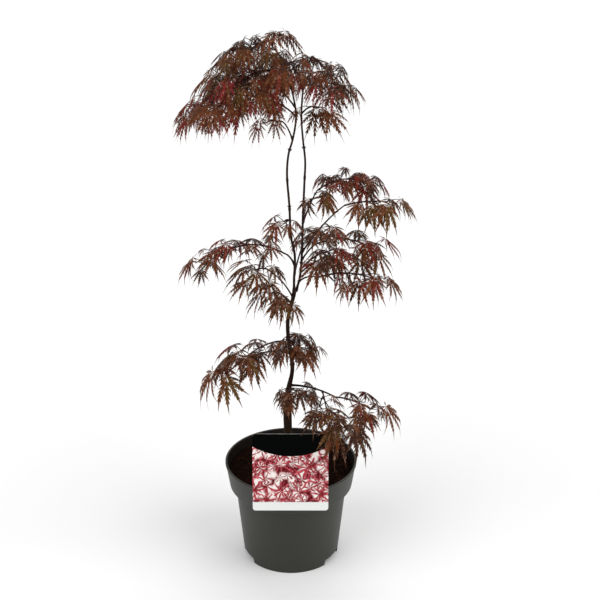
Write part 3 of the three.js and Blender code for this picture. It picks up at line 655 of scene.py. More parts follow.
def tryLeaf(mass, bud, parts, attempt, small=1.0, own=None, other=1.0):
    petiole, leaf = growth["petiole"], growth["leaf"]
    draw = chanceFor(mass["index"], *parts, attempt)
    azimuth = bud["azimuth"] + (draw() - 0.5) * (bud["spread"] + petiole["wander"] * attempt)
    stalkLength = between(draw, petiole["length"]) * mass["size"] * small
    heart = bud["node"] + direction(azimuth, rad(between(draw, petiole["rise"]))) * stalkLength
    pitch = rad(mass["pitch"] + (draw() - 0.5) * 2 * leaf["tilt"])
    roll = rad((draw() - 0.5) * 2 * leaf["tilt"])
    size = mass["size"] * mix(*leaf["size"], draw()) * (1 - leaf["shrink"] * attempt) * small
    axis, face, lobes = lobesOf(azimuth, pitch, roll, size)
    if not hasRoom(bud["node"], heart, petiole["radius"], mass["owner"], own, other):
        return None
    cutBack = 0
    low, most = growth["cutBack"]
    for lobe in lobes:
        way, length = lobe
        fits = next((share for share in growth["shorter"] if hasRoom(
            heart, heart + way * length * share, leaf["rod"], mass["owner"], own, other)), None)
        if fits is None:
            return None
        cutBack += fits < low
        lobe[1] = length * fits
    if cutBack > most:
        return None
    return {"node": bud["node"], "heart": heart, "axis": axis, "face": face, "lobes": lobes}


def addLeaf(mass, leaf):
    leaf["order"] = len(mass["leaves"])
    mass["leaves"].append(leaf)
    addRods([leaf["node"], leaf["heart"]], growth["petiole"]["radius"], mass["owner"])
    for way, length in leaf["lobes"]:
        addRods([leaf["heart"], leaf["heart"] + way * length], growth["leaf"]["rod"], mass["owner"])


def placeLeaves(crown):
    for order in range(max(len(mass["buds"]) for mass in crown)):
        for mass in crown:
            if order >= len(mass["buds"]):
                continue
            for attempt in range(growth["tries"]):
                leaf = tryLeaf(mass, mass["buds"][order], (order,), attempt)
                if leaf:
                    addLeaf(mass, leaf)
                    break


growLimbs()
addLabelRods()
crown = [planMass(name, index) for index, name in enumerate(masses)]
placeLeaves(crown)
print("leaves of the first growth:", sum(len(mass["leaves"]) for mass in crown))


# Finer twigs: short side shoots that grow on between the first leaves, each with smaller leaves

def inReach(points):
    low, high = [np.array(corner) / mm for corner in cadBox]
    return all(np.all(p > low - finer["slack"]) and np.all(p < high + finer["slack"]) for p in points)


def underRoof(point):
    roof = finer["roof"]
    x, y = roof["middle"]
    return point[2] < roof["top"] - roof["fall"] * ((point[0] - x) ** 2 + (point[1] - y) ** 2)


def finerShoot(mass, stem, share, order, level):
    own, other = [room * finer["closer"] ** level for room in finer["crowding"]]
    for attempt in range(finer["tries"]):
        draw = chanceFor(mass["index"], seeds["shoot"] + order, attempt)
        root = stem(share)
        way = heading(stem, share)
        side = 1 if order % 2 else -1
        azimuth = math.atan2(way[1], way[0]) + side * rad(between(draw, finer["fan"]))
        rise = rad(between(draw, finer["rises"][level % 2]))
        length = between(draw, finer["twig"]) * (1 + finer["longer"] * level)
        end = root + direction(azimuth, rise) * length
        small = between(draw, finer["size"])
        bud = {"node": end, "azimuth": azimuth, "spread": finer["spread"]}
        leaf = tryLeaf(mass, bud, (seeds["shootLeaf"] + order,), attempt, small, own, other)
        if not leaf or not underRoof(leaf["heart"]):
            continue
        if inReach([leaf["heart"] + along * reach for along, reach in leaf["lobes"]]):
            addLeaf(mass, leaf)
            mass["shoots"].append((root, end))
            return


def finerStems(mass):
    on, foot = masses[mass["name"]][:2]
    stems = [(mass["stem"], mass["nodes"] * 2)]
    if foot is None and on in finer["leafy"]:
        curve, first = limbs[on]["curve"], finer["leafy"][on]
        stems.append((lambda t: curve(mix(first, 1, t)), finer["limbShoots"]))
    return stems


def growFiner():
    order = 0
    for level in range(max(mass["rounds"] for mass in crown)):
        offset = (finer["offset"] + finer["step"] * level) % 1
        for mass in [m for m in crown if m["rounds"] > level]:
            for stem, count in finerStems(mass):
                for k in range(count):
                    share = (k + offset) / count
                    if share > finer["bareFoot"]:
                        finerShoot(mass, stem, share, order, level)
                    order += 1


growFiner()
print("leaves with the finer growth:", sum(len(mass["leaves"]) for mass in crown))


# Tubes along a path, for trunk and boughs

def parallelFrames(points):
    ways = [unit(b - a) for a, b in zip(points, points[1:])]
    ways = [ways[0], *[unit(a + b) for a, b in zip(ways, ways[1:])], ways[-1]]
    side = unit(np.cross(ways[0], (0.0, 1.0, 0.0)))
    frames = []
    for way in ways:
        side = unit(side - way * float(side @ way))
        frames.append((side, np.cross(way, side)))
    return frames


def addTube(shape, points, radii, sides, relief=None):
    first = len(shape["points"])
    for centre, radius, (side, over) in zip(points, radii, parallelFrames(points)):
        for k in range(sides):
            angle = 2 * math.pi * k / sides
            out = side * math.cos(angle) + over * math.sin(angle)
            here = radius * (relief(centre + out * radius, out) if relief else 1)
            shape["points"].append((centre + out * here) * mm)
    rings = len(points)
    shape["faces"] += [(a, b, c, d) for a, d, c, b in bandFaces(first, rings, sides)]
    shape["faces"].append(tuple(first + k for k in reversed(range(sides))))
    shape["faces"].append(tuple(first + (rings - 1) * sides + k for k in range(sides)))


def roundedEnd(points, radii, steps=4):
    way = unit(points[-1] - points[-2])
    last, radius = points[-1], radii[-1]
    for k in range(1, steps + 1):
        turn = k / steps * math.pi / 2
        points.append(last + way * radius * math.sin(turn))
        radii.append(max(radius * math.cos(turn), radius * 0.08))


# Bark: the trunk has a flare, ridges and a graft union, and young wood has nodes with buds

bark = {"trunkRings": 230, "trunkSides": 30, "ridge": 0.07, "grain": 0.035, "flareHeight": 26,
        "flare": 0.5, "roots": 3, "oldTop": 244, "graftHeight": 232, "graft": 0.09, "graftSlant": 4,
        "jointsFrom": 262, "sunk": (2, 1.4, 0.5), "limbStep": 2.2, "slim": 0.88, "limbSides": 12,
        "youngGrain": 0.05, "nodeGap": 41, "nodeSwell": 0.34, "nodeReach": 1.7, "bare": (20, 8),
        "collar": 0.45, "collarReach": 3.2, "bud": (0.75, 2.6), "budLean": 0.75, "budSides": 6,
        "budShape": ((0, 0.8), (0.25, 1), (0.55, 0.85), (0.85, 0.4), (1, 0.06))}


def trunkRelief(point, out):
    x, y, z = point
    angle = math.atan2(out[1], out[0])
    low = max(0, 1 - (z - soil["top"]) / bark["flareHeight"])
    old = min(1, max(0, (bark["oldTop"] - z) / 12))
    ridges = noise.noise(Vector((math.cos(angle) * 2.1, math.sin(angle) * 2.1, z * 0.03)))
    plates = noise.noise(Vector((x * 0.8, y * 0.8, z * 0.16)))
    roots = max(0, math.cos(angle * bark["roots"] + 0.7)) ** 2 * low ** 2
    union = bark["graftHeight"] + bark["graftSlant"] * math.cos(angle)
    scar = math.exp(-((z - union) / 2.4) ** 2)
    return (1 + bark["ridge"] * ridges * (0.5 + old) + bark["grain"] * plates * (0.5 + old)
            + bark["flare"] * roots + bark["graft"] * scar)


def nodeSwelling(past):
    near = min(past, bark["nodeGap"] - past)
    return bark["nodeSwell"] * math.exp(-(near / bark["nodeReach"]) ** 2)


def trunkShape():
    shape = {"points": [], "faces": []}
    steps = bark["trunkRings"]
    points = [limbs["trunk"]["curve"](i / steps) for i in range(steps + 1)]
    radii = [trunkRadius(0, p) for p in points]
    for i, p in enumerate(points):
        if p[2] > bark["jointsFrom"]:
            radii[i] *= 1 + nodeSwelling((p[2] - bark["jointsFrom"]) % bark["nodeGap"])
    rings, drop, wider = bark["sunk"]  # the foot goes on below the soil
    for _ in range(rings):
        points.insert(0, points[0] - up * drop)
        radii.insert(0, radii[0] + wider)
    roundedEnd(points, radii)
    addTube(shape, points, radii, bark["trunkSides"], trunkRelief)
    return shape


def youngRelief(point, out):
    x, y, z = point
    return 1 + bark["youngGrain"] * noise.noise(Vector((x * 0.9, y * 0.9, z * 0.35)))


def addBud(shape, root, way, radius, length):
    points = [root + way * length * t for t, _ in bark["budShape"]]
    addTube(shape, points, [radius * share for _, share in bark["budShape"]], bark["budSides"])


def addLimbTube(shape, limb, parentRadius):
    curve = limb["curve"]
    rough = [curve(i / 40) for i in range(41)]
    length = sum(float(np.linalg.norm(b - a)) for a, b in zip(rough, rough[1:]))
    steps = max(8, round(length / bark["limbStep"]))
    points = [curve(i / steps) for i in range(steps + 1)]
    radii, along = [], 0.0
    start, end = bark["bare"]
    for i, p in enumerate(points):
        if i:
            along += float(np.linalg.norm(p - points[i - 1]))
        radius = limb["radiusAt"](i / steps, p) * bark["slim"]
        swell = nodeSwelling(along % bark["nodeGap"]) if start < along < length - end else 0
        outside = max(0, along - parentRadius)
        collar = bark["collar"] * math.exp(-(outside / bark["collarReach"]) ** 2)
        radii.append(radius * (1 + swell + collar))
    addBuds(shape, points, radii)
    addTube(shape, points, radii, bark["limbSides"], youngRelief)


def addBuds(shape, points, radii):
    along, turn = 0.0, 0
    frames = parallelFrames(points)
    lean = bark["budLean"]
    for i in range(1, len(points) - 3):
        before = along
        along += float(np.linalg.norm(points[i] - points[i - 1]))
        if along < bark["bare"][0] or along // bark["nodeGap"] == before // bark["nodeGap"]:
            continue
        turn += 1
        side, over = frames[i]
        out = side if turn % 2 else over
        way = unit(points[i + 1] - points[i])
        for sign in (-1, 1):
            root = points[i] + out * sign * radii[i] * lean
            addBud(shape, root, unit(out * sign * lean + way), *bark["bud"])


def limbShape():
    shape = {"points": [], "faces": []}
    for name in (*leaders, *boughs):
        on = "trunk" if name in leaders else boughs[name][0]
        limb = limbs[name]
        parent = limbs[on]["radiusAt"](0.5, limb["line"][0])
        addLimbTube(shape, limb, parent)
    return shape


def keepTube(name, shape, skin, slot, replaced):
    keep(name, tidied(meshOf(name, shape["points"], shape["faces"])), skin, slot, replaced)


keepTube("trunkBark", trunkShape(), barkMaterial("maturingBark"), "bark", ["trunk"])
keepTube("limbBark", limbShape(), barkMaterial("youngBark"), "twig_bark", [*leaders, *boughs])
print("trunk and boughs made")


# Geometry Nodes: a mesh of edges with a girth becomes twigs, and points become lobes of leaves

def named(group, name, kind):
    return put(group, "GeometryNodeInputNamedAttribute", {"Name": name}, data_type=kind).outputs[0]


def newGrowth(name, takes):
    takes = {"Geometry": ("shape", None), **takes, "Finish": ("finish", None)}
    return newGroup("GeometryNodeTree", name, takes, {"Geometry": "shape"})


def finishedGroup(group, given, out, shape):
    real = put(group, "GeometryNodeRealizeInstances", {"Geometry": shape})
    dressed = put(group, "GeometryNodeSetMaterial", {"Geometry": real.outputs[0],
                                                     "Material": given["Finish"]})
    group.links.new(dressed.outputs[0], out["Geometry"])
    return group


def linesToTwigs():
    group, given, out = newGrowth("linesToTwigs", {"Sides": ("whole", 6), "Girth": ("value", 1.0)})
    curve = put(group, "GeometryNodeMeshToCurve", {"Mesh": given["Geometry"]})
    girth = reckon(group, "MULTIPLY", named(group, "girth", "FLOAT"), given["Girth"])
    ring = put(group, "GeometryNodeCurvePrimitiveCircle", {"Resolution": given["Sides"], "Radius": 1.0})
    tube = put(group, "GeometryNodeCurveToMesh", {
        "Curve": curve.outputs[0], "Profile Curve": ring.outputs["Curve"], "Scale": girth,
        "Fill Caps": True})
    smooth = put(group, "GeometryNodeSetShadeSmooth", {"Geometry": tube.outputs[0]})
    return finishedGroup(group, given, out, smooth.outputs[0])


def pointsToLobes(kinds):
    group, given, out = newGrowth("pointsToLobes", {label: ("thing", None) for label in kinds})
    shapes = [put(group, "GeometryNodeObjectInfo", {"Object": given[label], "As Instance": True})
              for label in kinds]
    choice = put(group, "GeometryNodeJoinGeometry")
    for shape in reversed(shapes):  # a joined socket takes its first link last
        group.links.new(shape.outputs["Geometry"], choice.inputs[0])
    points = put(group, "GeometryNodeMeshToPoints", {"Mesh": given["Geometry"], "Radius": 0.001})
    placed = put(group, "GeometryNodeInstanceOnPoints", {
        "Points": points.outputs[0], "Instance": choice.outputs[0], "Pick Instance": True,
        "Instance Index": named(group, "kind", "INT"), "Scale": named(group, "size", "FLOAT_VECTOR"),
        "Rotation": named(group, "turn", "FLOAT_VECTOR")})
    return finishedGroup(group, given, out, placed.outputs[0])


def grown(name, source, tree, values):
    holder = stand(name + "Source", source)
    modifier = holder.modifiers.new("grow", "NODES")
    modifier.node_group = tree
    for item in tree.interface.items_tree:
        if item.item_type == "SOCKET" and item.in_out == "INPUT" and item.name in values:
            modifier[item.identifier] = values[item.name]
    depsgraph = bpy.context.evaluated_depsgraph_get()
    mesh = bpy.data.meshes.new_from_object(holder.evaluated_get(depsgraph))
    holder.modifiers.remove(modifier)
    bpy.data.objects.remove(holder)
    mesh.name = name
    for attribute in [a.name for a in mesh.attributes if a.name in ("girth", "turn", "size", "kind")]:
        mesh.attributes.remove(mesh.attributes[attribute])
    return mesh


# Twigs and leaf stalks

twigs = {"stemSamples": 14, "stemSides": 8, "stemGirth": 0.86, "stemTip": 0.85, "joint": (0.3, 0.5),
         "shootGirth": 0.75, "shootTaper": (1, 0.95, 0.9), "shootBend": 0.8, "stalkSides": 5,
         "stalkGirth": (0.62, 0.44), "stalkRise": 0.1}


def lineMesh(name, lines):
    points, edges, girths = [], [], []
    for line in lines:
        first = len(points)
        points += [tuple(p * mm) for p, _ in line]
        girths += [girth * mm for _, girth in line]
        edges += [(first + i, first + i + 1) for i in range(len(line) - 1)]
    mesh = bpy.data.meshes.new(name)
    mesh.from_pydata(points, edges, [])
    mesh.attributes.new("girth", "FLOAT", "POINT").data.foreach_set("value", girths)
    return mesh


def stemLine(mass):
    (low, high), (swell, reach) = growth["stemRadii"], twigs["joint"]
    samples, nodes = twigs["stemSamples"], mass["nodes"]
    line = []
    for i in range(samples + 1):
        t = i / samples
        near = min(abs(t - (k + 1) / nodes) for k in range(nodes)) * samples
        joint = 1 + swell * math.exp(-(near / reach) ** 2)
        line.append((mass["stem"](t), mix(low, high * twigs["stemTip"], t) * twigs["stemGirth"] * joint))
    return line


def shootLine(root, end):
    points = (root, (root + end) / 2 + up * twigs["shootBend"], end)
    return [(p, twigs["shootGirth"] * share) for p, share in zip(points, twigs["shootTaper"])]


def stalkLine(leaf):
    node, heart = leaf["node"], leaf["heart"]
    rise = float(np.linalg.norm(heart - node)) * twigs["stalkRise"]
    curve = arch(node, heart, rise)
    return [(curve(t), mix(*twigs["stalkGirth"], t)) for t in (0, 0.25, 0.5, 0.75, 1)]


def makeTwigs():
    skin = barkMaterial("twigSkin")
    tree = linesToTwigs()
    stems = [stemLine(mass) for mass in crown]
    stems += [shootLine(*shoot) for mass in crown for shoot in mass["shoots"]]
    stalks = [stalkLine(leaf) for mass in crown for leaf in mass["leaves"]]
    for name, lines, sides, slot, replaced in (
            ("foliageTwigs", stems, twigs["stemSides"], "twig_bark", list(masses)),
            ("leafStalks", stalks, twigs["stalkSides"], "foliage", ())):
        mesh = grown(name, lineMesh(name + "Lines", lines), tree,
                     {"Sides": sides, "Girth": 1.0, "Finish": skin})
        keep(name, tidied(mesh), skin, slot, replaced)
    print("twigs and stalks made:", len(stems), len(stalks))


makeTwigs()


# Leaves: feathery lobes, three fine kinds above and three broad ones below, round each leaf's heart

# Sizes are shares of a lobe's length, of an upper and an under side with pointed teeth along a ridge.
# kinds: curl, sweep and cut
lobe = {"spine": (0.0, 0.2, 0.31, 0.42, 0.53, 0.64), "reach": (0.13, 0.16, 0.16, 0.13, 0.1),
        "slant": (37, 33, 29, 25, 21), "notch": (0.009, 0.012, 0.016, 0.017, 0.015, 0.011),
        "firstNotch": 0.07, "lastNotch": 0.77, "alike": 0.6, "shares": (0.5, 0.82),
        "widths": ((400, 1.16), (620, 1.04), (900, 0.9)), "width": (0.84, 1.14), "twist": 36,
        "outerLength": 0.62, "ridge": 0.011, "belly": 0.004, "bulge": 0.06, "sag": 0.35, "broadBelow": 620,
        "fine": {"blade": 1, "slant": 1, "reach": 1}, "broad": {"blade": 1.9, "slant": 0.8, "reach": 0.88},
        "kinds": {"Straight": (0.03, 0.0, "fine"), "Curled": (0.13, 0.03, "fine"),
                  "Swept": (0.08, -0.05, "fine"), "Plain": (0.05, 0.0, "broad"),
                  "Bent": (0.15, 0.02, "broad"), "Turned": (0.09, -0.04, "broad")}}


def lobeMesh(name, curl, sweep, cut):
    factor = lobe[cut]
    spine, notch = lobe["spine"], [width * factor["blade"] for width in lobe["notch"]]
    flat = [(x, 0.0, 0 if x else 1) for x in spine] + [(1.0, 0.0, 1)]
    faces = []

    def vertex(x, y):
        flat.append((x, y, 1))
        return len(flat) - 1

    count = len(spine)
    for side in (1, -1):
        edge = vertex(spine[1] - lobe["firstNotch"], side * notch[0])
        faces.append((0, 1, edge))
        for k in range(1, count):
            back = edge
            reach = lobe["reach"][k - 1] * factor["reach"]
            slant = rad(lobe["slant"][k - 1]) * factor["slant"]
            tip = vertex(spine[k] + reach * math.cos(slant), side * (notch[k] + reach * math.sin(slant)))
            ahead = spine[k + 1] if k + 1 < count else lobe["lastNotch"]
            edge = vertex((spine[k] + ahead) / 2, side * notch[k])
            faces += [(k, tip, back), (k, edge, tip), (k, k + 1, edge)]
    points, top, under = [], [], []
    for x, y, level in flat:
        fall = curl * max(0, x - 0.5) ** 2 * 4
        lift = lobe["bulge"] * 4 * x * (1 - x) - fall - lobe["sag"] * abs(y)
        bent = y + sweep * x * x
        thick = 0 if level else 1 - x
        top.append(len(points))
        points.append((x, bent, lift + lobe["ridge"] * thick))
        under.append(top[-1])
        if thick:
            under[-1] = len(points)
            points.append((x, bent, lift - lobe["belly"] * thick))
    upper = [[top[i] for i in face] for face in faces]
    lower = [[under[i] for i in face[::-1]] for face in faces]
    return tidied(meshOf(name, points, upper + lower, smooth=False), 1e-6)


# Base colours of the sprays, dark and light end of each
tints = {"b": ("leavesBrown", (46, 17, 4), (121, 62, 20)),
         "r": ("leavesRedBrown", (60, 12, 4), (132, 43, 20)),
         "c": ("leavesCrimson", (78, 9, 11), (146, 35, 37)),
         "o": ("leavesOlive", (44, 25, 3), (109, 72, 20)),
         "d": ("leavesDark", (32, 13, 4), (78, 39, 16))}


def tintOf(mass, draw):
    share = draw()
    first, second, third = mass["tints"]
    usual, likely = lobe["shares"]
    return first if share < usual else second if share < likely else third


def sprayLobes(mass, leaf):
    draw = chanceFor(mass["index"], seeds["lobes"] + leaf["order"])
    face, lobes, height = leaf["face"], leaf["lobes"], leaf["node"][2]
    usual = next(wide for top, wide in lobe["widths"] if height < top)
    extra = []
    for way, length in (lobes[0], lobes[-1]):
        back = unit(way * 0.75 - leaf["axis"] * 0.65 - up * 0.12)
        extra.append((back, length * lobe["outerLength"]))
    for way, length in (*lobes, *extra):
        normal = unit(face - way * float(face @ way))
        tilt = rad((draw() - 0.5) * lobe["twist"])
        normal = normal * math.cos(tilt) + np.cross(normal, way) * math.sin(tilt)
        turn = Matrix((way, np.cross(normal, way), normal)).transposed().to_euler()
        wide = mix(*lobe["width"], draw()) * usual
        kind = int(draw() * 3) + (3 if height < lobe["broadBelow"] else 0)
        yield leaf["heart"], turn, (length, length * wide, length), kind


def lobePoints(name, lobes):
    mesh = bpy.data.meshes.new(name)
    mesh.from_pydata([tuple(heart * mm) for heart, *_ in lobes], [], [])
    turns = [value for _, turn, _, _ in lobes for value in turn]
    sizes = [value * mm for _, _, size, _ in lobes for value in size]
    mesh.attributes.new("turn", "FLOAT_VECTOR", "POINT").data.foreach_set("vector", turns)
    mesh.attributes.new("size", "FLOAT_VECTOR", "POINT").data.foreach_set("vector", sizes)
    mesh.attributes.new("kind", "INT", "POINT").data.foreach_set("value", [k for *_, k in lobes])
    return mesh


def makeLeaves():
    shapes = {label: stand("lobe" + label, lobeMesh("lobe" + label, *bends))
              for label, bends in lobe["kinds"].items()}
    tree = pointsToLobes(list(lobe["kinds"]))
    dealt = {key: [] for key in tints}
    for mass in crown:
        for leaf in mass["leaves"]:
            draw = chanceFor(mass["index"], seeds["tint"] + leaf["order"])
            tint = tintOf(mass, draw)
            for made in sprayLobes(mass, leaf):
                dealt[tint if draw() < lobe["alike"] else tintOf(mass, draw)].append(made)
    for key, (name, dark, light) in tints.items():
        blade = leafMaterial(name, dark, light)
        mesh = grown(name, lobePoints(name + "Points", dealt[key]), tree, {**shapes, "Finish": blade})
        keep(name, mesh, blade, "foliage")
        print(name, "lobes:", len(dealt[key]), "triangles:", len(mesh.polygons))
    for shape in shapes.values():
        bpy.data.objects.remove(shape)


makeLeaves()


# Soil: an uneven crust over the level solid, with crumbs and bits of bark strewn by Geometry Nodes

crust = {"edge": 89.4, "rings": 44, "spokes": 120, "rise": 0.9, "lumps": 1.1, "grain": 0.6, "skirt": 5,
         "strewn": (8, 86.5), "strewnRings": 16, "strewnSpokes": 60,
         "earth": ((12, 4, 1), (50, 27, 17), 90.0, 0.0016),
         "barkBits": ((48, 20, 14), (116, 62, 46), 240.0, 0.0006),
         "crumbs": {"count": 1500, "size": (0.7, 2.1), "stretch": (1.1, 0.9, 0.75), "seed": 11},
         "bits": {"count": 230, "size": (1.2, 3.2), "stretch": (1.3, 0.45, 0.25), "seed": 16}}


def soilHeight(radius):
    edge, middle = soil["top"] - soil["edgeDrop"], soil["top"] + soil["mound"]
    foot, rim = soil["footRadius"], soil["edgeRadius"]
    halfway = (rim + foot) / 2
    if radius < foot:
        return soil["top"]
    if radius < halfway:
        return mix(soil["top"], middle, (radius - foot) / (halfway - foot))
    return mix(middle, edge, min(1, (radius - halfway) / (rim - halfway)))


def crustHeight(x, y):
    broad = noise.noise(Vector((x * 0.06, y * 0.06, 3)))
    fine = noise.noise(Vector((x * 0.3, y * 0.3, 8)))
    return (soilHeight(math.hypot(x, y)) + crust["rise"] + crust["lumps"] * max(-0.5, broad)
            + crust["grain"] * fine)


def onCrust(radius, count, shift=0.0, lift=0.0):
    return [(x * mm, y * mm, (crustHeight(x, y) + lift) * mm) for x, y in levelRing(radius, count, shift)]


def crustMesh():
    spokes, rings = crust["spokes"], crust["rings"]
    points = [(0, 0, crustHeight(0, 0) * mm)]
    for j in range(1, rings + 1):
        points += onCrust(crust["edge"] * j / rings, spokes, 0.5 * (j % 2))
    points += [(x * 0.99, y * 0.99, (soil["top"] - crust["skirt"]) * mm) for x, y, _ in points[-spokes:]]
    faces = [(0, 1 + k, 1 + (k + 1) % spokes) for k in range(spokes)]
    faces += bandFaces(1, rings + 1, spokes)
    faces.append(tuple(len(points) - spokes + k for k in reversed(range(spokes))))
    return tidied(meshOf("soilCrust", points, faces))


def strewing():
    group, given, out = newGrowth("strewing", {
        "Crumb": ("thing", None), "Density": ("value", 0.06), "Smallest": ("value", 0.0008),
        "Largest": ("value", 0.002), "Seed": ("whole", 1)})
    points = put(group, "GeometryNodeDistributePointsOnFaces", {
        "Mesh": given["Geometry"], "Density": given["Density"], "Seed": given["Seed"]})
    crumb = put(group, "GeometryNodeObjectInfo", {"Object": given["Crumb"], "As Instance": True})
    turn = put(group, "FunctionNodeRandomValue", {"Max": (6.28, 6.28, 6.28), "Seed": given["Seed"]},
               data_type="FLOAT_VECTOR")
    size = put(group, "FunctionNodeRandomValue", {2: given["Smallest"], 3: given["Largest"],
                                                  "Seed": given["Seed"]}, data_type="FLOAT")
    placed = put(group, "GeometryNodeInstanceOnPoints", {
        "Points": points.outputs[0], "Instance": crumb.outputs["Geometry"],
        "Rotation": turn.outputs[0], "Scale": size.outputs[1]})
    return finishedGroup(group, given, out, placed.outputs[0])


def crumbObject(name, stretch):
    work = bmesh.new()
    bmesh.ops.create_icosphere(work, subdivisions=2, radius=1)
    for v in work.verts:
        v.co *= 1 + 0.45 * noise.noise(v.co * 1.7 + Vector((4, 1, len(name))))
        v.co = [along * factor for along, factor in zip(v.co, stretch)]
    return stand(name, meshFrom(work, name))


def strewnField():
    spokes, rings = crust["strewnSpokes"], crust["strewnRings"]
    points = []
    for j in range(rings + 1):
        points += onCrust(mix(*crust["strewn"], j / rings), spokes, lift=0.1)
    return meshOf("strewnField", points, bandFaces(0, rings + 1, spokes))


def makeSoil():
    earth = earthMaterial("pottingEarth", *crust["earth"])
    bits = earthMaterial("barkBits", *crust["barkBits"])
    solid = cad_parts["potting_soil"]
    solid.data.materials.clear()
    solid.data.materials.append(earth)
    keep("soilCrust", crustMesh(), earth, "soil")
    tree = strewing()
    area = math.pi * (crust["strewn"][1] / 1000) ** 2
    for name, look, spec in (("soilCrumbs", earth, crust["crumbs"]), ("soilBits", bits, crust["bits"])):
        crumb = crumbObject(name + "One", spec["stretch"])
        smallest, largest = spec["size"]
        mesh = grown(name, strewnField(), tree, {
            "Crumb": crumb, "Density": spec["count"] / area, "Smallest": smallest * mm,
            "Largest": largest * mm, "Seed": spec["seed"], "Finish": look})
        mesh.polygons.foreach_set("use_smooth", [False] * len(mesh.polygons))
        keep(name, mesh, look, "soil")
        bpy.data.objects.remove(crumb)
        print(name, "triangles:", len(mesh.polygons))


makeSoil()


# Pot: turned from a rounded profile, with four drainage slots cut through its foot

def roundedProfile():
    bandFoot = pot["height"] - pot["bandDrop"]
    base, shoulder, band, rim = [pot[part + "Radius"] for part in ("base", "shoulder", "band", "rim")]
    lip, wall, floor, ledge = [pot[part] for part in ("lip", "wall", "floor", "ledgeDrop")]
    corners = [  # radius, height, rounding
        (0, 0, 0), (base - 5, 0, 0), (base - 5, 0.9, 0.4), (base - 3.6, 0.9, 0.4),
        (base - 3.6, 0, 0), (base, 0, 1.2), (shoulder - 0.4, bandFoot - ledge - 3, 1.5),
        (shoulder, bandFoot - ledge, 1.2), (band - 0.2, bandFoot, 1.4),
        (rim - 0.9, pot["height"] - 3.6, 0.8), (rim + 0.1, pot["height"] - 2.9, 0.6),
        (rim + 0.15, pot["height"], 0.9), (rim - lip, pot["height"], 0.9),
        (band - wall, bandFoot + wall, 2), (shoulder - wall, bandFoot + wall - ledge, 2),
        (base - wall, floor, 2), (0, floor, 0)]
    made = []
    for i, (r, z, rounding) in enumerate(corners):
        here = np.array((r, z), float)
        if not rounding:
            made.append(here)
            continue
        before, after = [np.array(corners[i + k][:2], float) - here for k in (-1, 1)]
        size = min(rounding, float(np.linalg.norm(before)) * 0.45, float(np.linalg.norm(after)) * 0.45)
        first, last = here + unit(before) * size, here + unit(after) * size
        for t in (0, 0.25, 0.5, 0.75, 1):
            made.append((1 - t) ** 2 * first + 2 * t * (1 - t) * here + t * t * last)
    return made


def latheMesh(name, profile, rounds):
    points, faces, rows = [], [], []
    for r, z in profile:
        if r < 1e-6:
            rows.append([len(points)] * rounds)
            points.append((0, 0, z * mm))
            continue
        rows.append(list(range(len(points), len(points) + rounds)))
        points += [(x, y, z * mm) for x, y in levelRing(r * mm, rounds)]
    for low, high in zip(rows, rows[1:]):
        for k in range(rounds):
            after = (k + 1) % rounds
            face = [low[k], low[after], high[after], high[k]]
            face = [v for n, v in enumerate(face) if v not in face[:n]]
            if len(face) > 2:
                faces.append(face)
    return tidied(meshOf(name, points, faces))


def slotCutter(angle):
    depth, width, height = pot["slotSize"]
    work = bmesh.new()
    bmesh.ops.create_cube(work, size=1)
    bmesh.ops.scale(work, vec=(2 * depth * mm, width * mm, 2 * height * mm), verts=work.verts)
    along = [e for e in work.edges if abs(e.verts[0].co.x - e.verts[1].co.x) > depth * mm
             and e.verts[0].co.z > 0]
    bmesh.ops.bevel(work, geom=along, offset=pot["slotCorner"] * mm, segments=5, profile=0.5,
                    affect="EDGES")
    place = Matrix.Rotation(rad(angle), 4, "Z") @ Matrix.Translation((pot["baseRadius"] * mm, 0, 0))
    bmesh.ops.transform(work, matrix=place, verts=work.verts)
    bmesh.ops.recalc_face_normals(work, faces=work.faces)
    return stand("slotCutter", meshFrom(work, "slotCutter"))


def makePot():
    shell = stand("potBlank", latheMesh("potBlank", roundedProfile(), pot["rounds"]))
    cutters = [slotCutter(angle) for angle in pot["slotAngles"]]
    for k, cutter in enumerate(cutters):
        cut = shell.modifiers.new(f"slot{k}", "BOOLEAN")
        cut.object = cutter
        cut.solver = "EXACT"
    depsgraph = bpy.context.evaluated_depsgraph_get()
    mesh = bpy.data.meshes.new_from_object(shell.evaluated_get(depsgraph))
    mesh.name = "potShell"
    for made in (shell, *cutters):
        bpy.data.objects.remove(made)
    mesh.polygons.foreach_set("use_smooth", [True] * len(mesh.polygons))
    mesh.set_sharp_from_angle(angle=rad(pot["sharpFrom"]))
    keep("potShell", mesh, potMaterial(), "pot", ["nursery_pot"])
    print("pot made:", len(mesh.polygons), "faces")


makePot()


# Plant label: a thin printed card, a little bowed, that leans on the rim and hooks over it

card = {"columns": 40, "rows": 44, "bow": 1.1, "bareFoot": 0.11, "headFoot": 0.71, "headArc": 0.5,
        "head": (2, 3, 3), "foot": (238, 240, 238), "shine": 0.025, "rough": (0.24, 0.36), "petals": 11.0,
        "ground": ((0.3, (248, 240, 236)), (0.66, (96, 24, 30)), (0.46, (226, 190, 188))),
        "sprays": ((4.2, 9, (160, 30, 44), (232, 128, 138)), (7.5, 7, (112, 14, 24), (206, 76, 90))),
        "back": ((214, 214, 210), (238, 238, 234)), "backDust": (120, 100, 84), "backRough": (0.4, 0.5)}


def cardOutline():
    half, height, corner = label["width"] / 2, label["height"], label["corner"]
    low = -label["rimShare"] * height
    centres = [(half - corner, low + corner, -90), (half - corner, low + height - corner, 0),
               (corner - half, low + height - corner, 90), (corner - half, low + corner, 180)]
    return [(x + corner * math.cos(rad(start + 15 * k)), z + corner * math.sin(rad(start + 15 * k)))
            for x, z, start in centres for k in range(7)]


